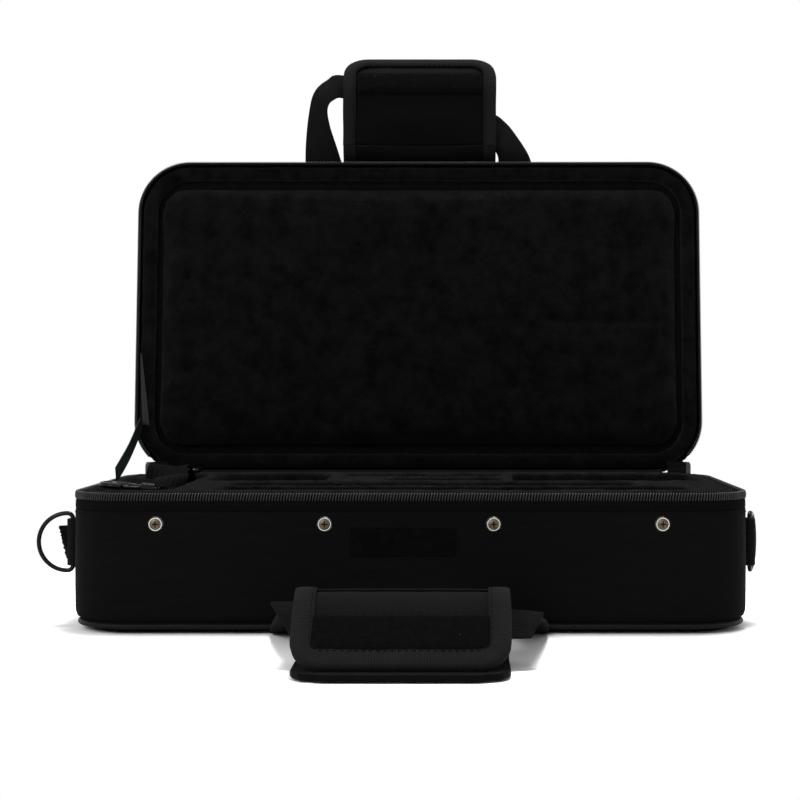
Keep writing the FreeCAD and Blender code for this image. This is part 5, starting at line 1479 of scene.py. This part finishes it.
class CASE_OT_lid_handle(bpy.types.Operator):
    """Sew the lid's carrying handle, standing up behind the lid"""
    bl_idname = "case.lid_handle"
    bl_label = "Lid handle"

    def execute(self, context):
        sizes = context.scene.case_sizes
        self.anchors()
        outer = [(-75, -0.6, 0), (-74.5, 16, 0.6), (-72.5, 34, 1.6), (-69, 48, 2.6), (-61, 56, 2.6),
                 (-49, 59.5, 1.2), (0, 46, 0), (44, 36, 0), (56, 29, 0.8), (64, 19, 1.6), (71, 8, 1.2),
                 (74, -0.6, 0)]
        inner = [(-50, -0.6, 0), (-54, 12, 2.8), (-58.5, 26, 5.5), (-60, 37, 6.5), (-56, 43, 5.5),
                 (-46, 43.5, 3.0), (0, 28, 1), (40, 17, 1), (47, 12.5, 2.4), (50.5, 8, 2.6), (51.5, 3, 1.6),
                 (50, -0.6, 0)]
        columns, rows = 90, 8
        sides = [smooth_line([LID_SEAM + Vector((x, -y, z)) * MM for x, z, y in edge], columns)
                 for edge in (outer, inner)]
        lengths = running_lengths(sides[0])

        def place(column, row):
            share = row / rows
            spot = sides[0][column].lerp(sides[1][column], share)
            spot.y -= 0.8 * MM * math.sin(math.pi * share)
            return spot, (lengths[column], sizes.webbing_width * share)

        band = lay_sheet("lid_handle_band", columns, rows, place)
        thicken(band, sizes.webbing_thickness, edge=0.4 * MM)
        finish_piece(band, webbing_material(), "lid_handle", ["lid_handle_webbing"])
        self.wrap()
        return {"FINISHED"}

    def anchors(self):
        """Webbing ends sewn flat on the lid's front face."""
        width = bpy.context.scene.case_sizes.webbing_width
        webbing_y, thread_y = -100.9 * MM, -101.75 * MM
        for word, side in (("left", -1), ("right", 1)):
            centre = side * 62.5 * MM
            line = [Vector((centre, webbing_y, z * MM)) for z in (84.6, 87, 89.5, 92, 94.6)]
            tab = lay_strap(f"lid_anchor_{word}", line, (1, 0, 0), width, 1.4 * MM)
            replaced = ["lid_handle_anchors"] if side < 0 else []
            finish_piece(tab, webbing_material(), "lid", replaced, opened=True)
            corners = [(-9, 86), (9, 86), (9, 93), (-9, 93), (-9, 86), (9, 93)]
            points = dotted([Vector((centre + x * MM, thread_y, z * MM)) for x, z in corners])
            stitch_line(f"lid_anchor_{word}_stitches", points, (0, -1, 0), "lid", opened=True)

    def wrap(self):
        sizes = bpy.context.scene.case_sizes
        fold, sink, top, corner, tuck = 9 * MM, 11.4 * MM, 30 * MM, 10 * MM, 3.6 * MM
        rise = LID_FOLD.z
        centre = Vector((0, LID_SEAM.y, rise))
        route = [centre - Vector((0, math.cos(a) * fold, math.sin(a) * sink))
                 for a in (math.pi * k / 18 for k in range(19))]
        route += [route[-1] + Vector((0, 0, top * (k + 1) / 10)) for k in range(10)]
        lengths = running_lengths(route)

        def place(column, row):
            share = 2 * column / LEAF_COLUMNS - 1
            reach = rounded_half(sizes.wrap_half_width, corner, corner - (lengths[-1] - lengths[row]))
            hollow = Vector((share * reach, tucked(tuck, share, lengths[row], fold), 0))
            spot = hollow + route[row] + square_to(route, row) * 0.2 * MM
            return spot, (share * reach, lengths[row])

        sew_leaf("lid", route, place, route[:-4], sizes.lid_binding)
        bend, turn, straight = 30 * MM, math.radians(55), 33 * MM
        start = Vector((0, LID_FOLD.y, rise))
        line = [start + Vector((0, 0, straight * k / 14)) for k in range(15)]
        pivot = line[-1] + Vector((0, bend, 0))
        line += [pivot + Vector((0, -math.cos(a), math.sin(a))) * bend
                 for a in (turn * (k + 1) / 16 for k in range(16))]
        wrap = HandWrap("lid_flap", line, -1, sizes.lid_binding)
        wrap.sew("hook", wrap.total - 29 * MM, wrap.total - 14 * MM, tuck)


class CASE_OT_lid_stay(bpy.types.Operator):
    """Run the ribbon that keeps the lid from falling back"""
    bl_idname = "case.lid_stay"
    bl_label = "Lid stay"

    def execute(self, context):
        low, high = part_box("lid_stay")
        x = (low.x + high.x) / 2
        foot = Vector((x, low.y + 1.7 * MM, low.z + 5 * MM))
        head = Vector((x, high.y - 1.7 * MM, high.z - 5 * MM))
        middle = foot.lerp(head, 0.5) + Vector((0.4 * MM, 0, -1.2 * MM))
        line = smooth_line([foot, middle, head], 30)
        stay = lay_strap("stay_ribbon", line, (0, -0.35, 1), 10 * MM, 0.6 * MM, rows=4)
        finish_piece(stay, ribbon_material(), None, ["lid_stay"])
        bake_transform(stay)
        run = ((-172.6, 70), (-173.6, 58), (-175, 44), (-176.6, 24))
        sewn = [Vector((x * MM, y * MM, 75.0 * MM)) for x, y in run]
        upper = lay_strap("stay_ribbon_end", smooth_line(sewn, 20), (1, 0, 0), 4.4 * MM, 0.6 * MM, rows=4)
        for vertex in upper.data.vertices:
            share = min(max((vertex.co.y / MM - 24) / 46, 0), 1)
            middle = (-176.6 + 4 * share) * MM
            vertex.co.x = middle + (vertex.co.x - middle) * (0.16 + 0.84 * share ** 0.7)
        # The sewn end gets the paler colour of painted sheen.
        finish_piece(upper, ribbon_end_painted_sheen_material(), "lid", opened=True)
        return {"FINISHED"}


class CASE_OT_shoulder_strap(bpy.types.Operator):
    """Fold the shoulder strap into its well"""
    bl_idname = "case.shoulder_strap"
    bl_label = "Shoulder strap"

    def execute(self, context):
        width, middle, half_run, spacing, steps = 36 * MM, 41 * MM, 44 * MM, 5 * MM, 260
        route, x = [], -161.5 * MM
        for number in range(6):
            begin = -half_run if number % 2 == 0 else half_run
            for k in range(5):
                y = begin - 2 * begin * k / 4
                route.append(Vector((x + math.sin(k * 1.7 + number) * 0.5 * MM, y, middle)))
            x += spacing
        line = smooth_line(route, steps)
        across = [Vector((0.05 * math.sin(k * 0.11), 0, 1)) for k in range(steps + 1)]
        hank = lay_strap("strap_hank", line, across, width, 1.5 * MM, rows=4)
        finish_piece(hank, strap_material(), "strap", ["strap_webbing"])
        self.loose_folds()
        return {"FINISHED"}

    def loose_folds(self):
        """Looser folds of webbing that lie crumpled on the hank."""
        folds = (
            ([(-3, 61.5), (3, 66), (1, 72), (7, 76), (14, 72), (12, 66), (19, 62), (26, 66), (24, 72),
              (30, 76), (37, 71), (40, 63)], -149.5, 24, 0.22),
            ([(-10, 64.5), (-2, 68.5), (6, 79), (15, 81), (22, 76), (32, 79), (41, 72)], -143.5, 22, -0.3),
            ([(-26, 63.5), (-20, 70), (-14, 77), (-7, 75), (-4, 68), (2, 66)], -137.5, 19, 0.4),
        )
        steps = 110
        for number, (route, x, wide, lean) in enumerate(folds, 1):
            points = [Vector(((x + 1.5 * math.sin(k * 2.1 + number)) * MM, y * MM, z * MM))
                      for k, (y, z) in enumerate(route)]
            line = smooth_line(points, steps)
            across = [Vector((1, lean * math.sin(k * 0.09), 0.28 * math.sin(k * 0.07 + number)))
                      for k in range(steps + 1)]
            fold = lay_strap(f"strap_fold_{number}", line, across, wide * MM, 1.5 * MM, crown=0.6 * MM)
            finish_piece(fold, strap_material(), "strap")
            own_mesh(fold)


def mix_shaders(tree, share, first, second):
    return put(tree, "ShaderNodeMixShader", {0: share, 1: first.outputs[0], 2: second.outputs[0]})


class CASE_OT_stage(bpy.types.Operator):
    """Set up the floor, the light and the camera"""
    bl_idname = "case.stage"
    bl_label = "Stage"

    def execute(self, context):
        self.floor()
        self.world()
        self.lamps(context)
        self.camera(context)
        context.scene.view_settings.view_transform = "Standard"
        return {"FINISHED"}

    def floor(self):
        deselect()
        bpy.ops.mesh.primitive_plane_add(size=8, location=(0, 1.5, -0.0003))
        floor = bpy.context.object
        floor.name = "pale_floor"
        apply_place(floor)
        material = bpy.data.materials.new("pale_floor")
        material.use_nodes = True
        tree = material.node_tree
        tree.nodes.clear()
        white_from, white_to = 0.26, 0.42
        paper = put(tree, "ShaderNodeBsdfDiffuse", {"Color": (0.86, 0.86, 0.86, 1)})
        bright = put(tree, "ShaderNodeBsdfDiffuse", {"Color": (1.5, 1.5, 1.5, 1)})
        white = put(tree, "ShaderNodeEmission", {"Color": (1, 1, 1, 1), "Strength": 1.0})
        coords = put(tree, "ShaderNodeTexCoord")
        distance = put(tree, "ShaderNodeVectorMath", {0: coords.outputs["Object"]}, operation="LENGTH")
        far = put(tree, "ShaderNodeMapRange", {0: distance.outputs["Value"], 1: white_from, 2: white_to})
        seen = mix_shaders(tree, far.outputs[0], bright, white)
        rays = put(tree, "ShaderNodeLightPath")
        mix = mix_shaders(tree, rays.outputs["Is Camera Ray"], paper, seen)
        out = put(tree, "ShaderNodeOutputMaterial", {"Surface": mix.outputs[0]})
        out.is_active_output = True
        floor.data.materials.append(material)

    def world(self):
        world = bpy.data.worlds.new("soft_room")
        bpy.context.scene.world = world
        world.use_nodes = True
        tree = world.node_tree
        tree.nodes.clear()
        rays = put(tree, "ShaderNodeLightPath")
        seen = math_node(tree, "MAXIMUM", rays.outputs["Is Camera Ray"],
                         math_node(tree, "MAXIMUM", rays.outputs["Is Glossy Ray"],
                                   rays.outputs["Is Transmission Ray"]))
        strength = bpy.context.scene.case_stage.sky
        light = put(tree, "ShaderNodeBackground", {"Color": (1, 1, 1, 1), "Strength": strength})
        backdrop = put(tree, "ShaderNodeBackground", {"Color": (1, 1, 1, 1), "Strength": 1.0})
        mix = mix_shaders(tree, seen, light, backdrop)
        put(tree, "ShaderNodeOutputWorld", {"Surface": mix.outputs[0]})

    def lamps(self, context):
        power = context.scene.case_stage.lamp_power
        for name, place, wide, share in (("overhead_lamp", (0.1, 0.12, 1.5), 0.5, 1.0),
                                         ("front_lamp", (-0.9, -1.5, 0.9), 0.6, 0.45)):
            deselect()
            bpy.ops.object.light_add(type="AREA", location=place)
            lamp = bpy.context.object
            lamp.name = name
            lamp.data.size = wide
            lamp.data.energy = power * share
            aim = Vector((0, 0.02, 0.12)) - Vector(place)
            lamp.rotation_euler = aim.to_track_quat("-Z", "Y").to_euler()

    def camera(self, context):
        stage = context.scene.case_stage
        deselect()
        bpy.ops.object.camera_add(location=stage.camera_place, rotation=(math.pi / 2, 0, 0))
        camera = bpy.context.object
        camera.data.lens = stage.lens
        camera.data.sensor_width = 36
        centre = stage.frame_size / 2
        camera.data.shift_x = (centre - stage.axis_pixel[0]) / stage.frame_size
        camera.data.shift_y = (stage.axis_pixel[1] - centre) / stage.frame_size
        context.scene.camera = camera


class CASE_PT_build(bpy.types.Panel):
    """Lists the case's pieces in the sidebar"""
    bl_label = "Clarinet case"
    bl_space_type = "VIEW_3D"
    bl_region_type = "UI"
    bl_category = "Case"

    def draw(self, context):
        for step in STEPS:
            self.layout.operator(step.bl_idname)
        for group in (context.scene.case_sizes, context.scene.case_colours, context.scene.case_stage):
            for name in group.__annotations__:
                self.layout.prop(group, name)


STEPS = (CASE_OT_inner_parts, CASE_OT_covers, CASE_OT_piping, CASE_OT_zip, CASE_OT_hinge_cloth,
         CASE_OT_plush_insert, CASE_OT_lid_lining, CASE_OT_loop_patch, CASE_OT_ring_tabs,
         CASE_OT_base_handle, CASE_OT_lid_handle, CASE_OT_lid_stay, CASE_OT_shoulder_strap, CASE_OT_stage)
GROUPS = {"case_sizes": CaseSizes, "case_colours": CaseColours, "case_stage": CaseStage}


def register():
    for item in (*GROUPS.values(), *STEPS, CASE_PT_build):
        bpy.utils.register_class(item)
    for name, group in GROUPS.items():
        setattr(bpy.types.Scene, name, bpy.props.PointerProperty(type=group))


def unregister():
    for name in GROUPS:
        delattr(bpy.types.Scene, name)
    for item in reversed((*GROUPS.values(), *STEPS, CASE_PT_build)):
        bpy.utils.unregister_class(item)


def main():
    register()
    for step in STEPS:
        group, name = step.bl_idname.split(".")
        getattr(getattr(bpy.ops, group), name)()


if __name__ == "__main__":
    main()
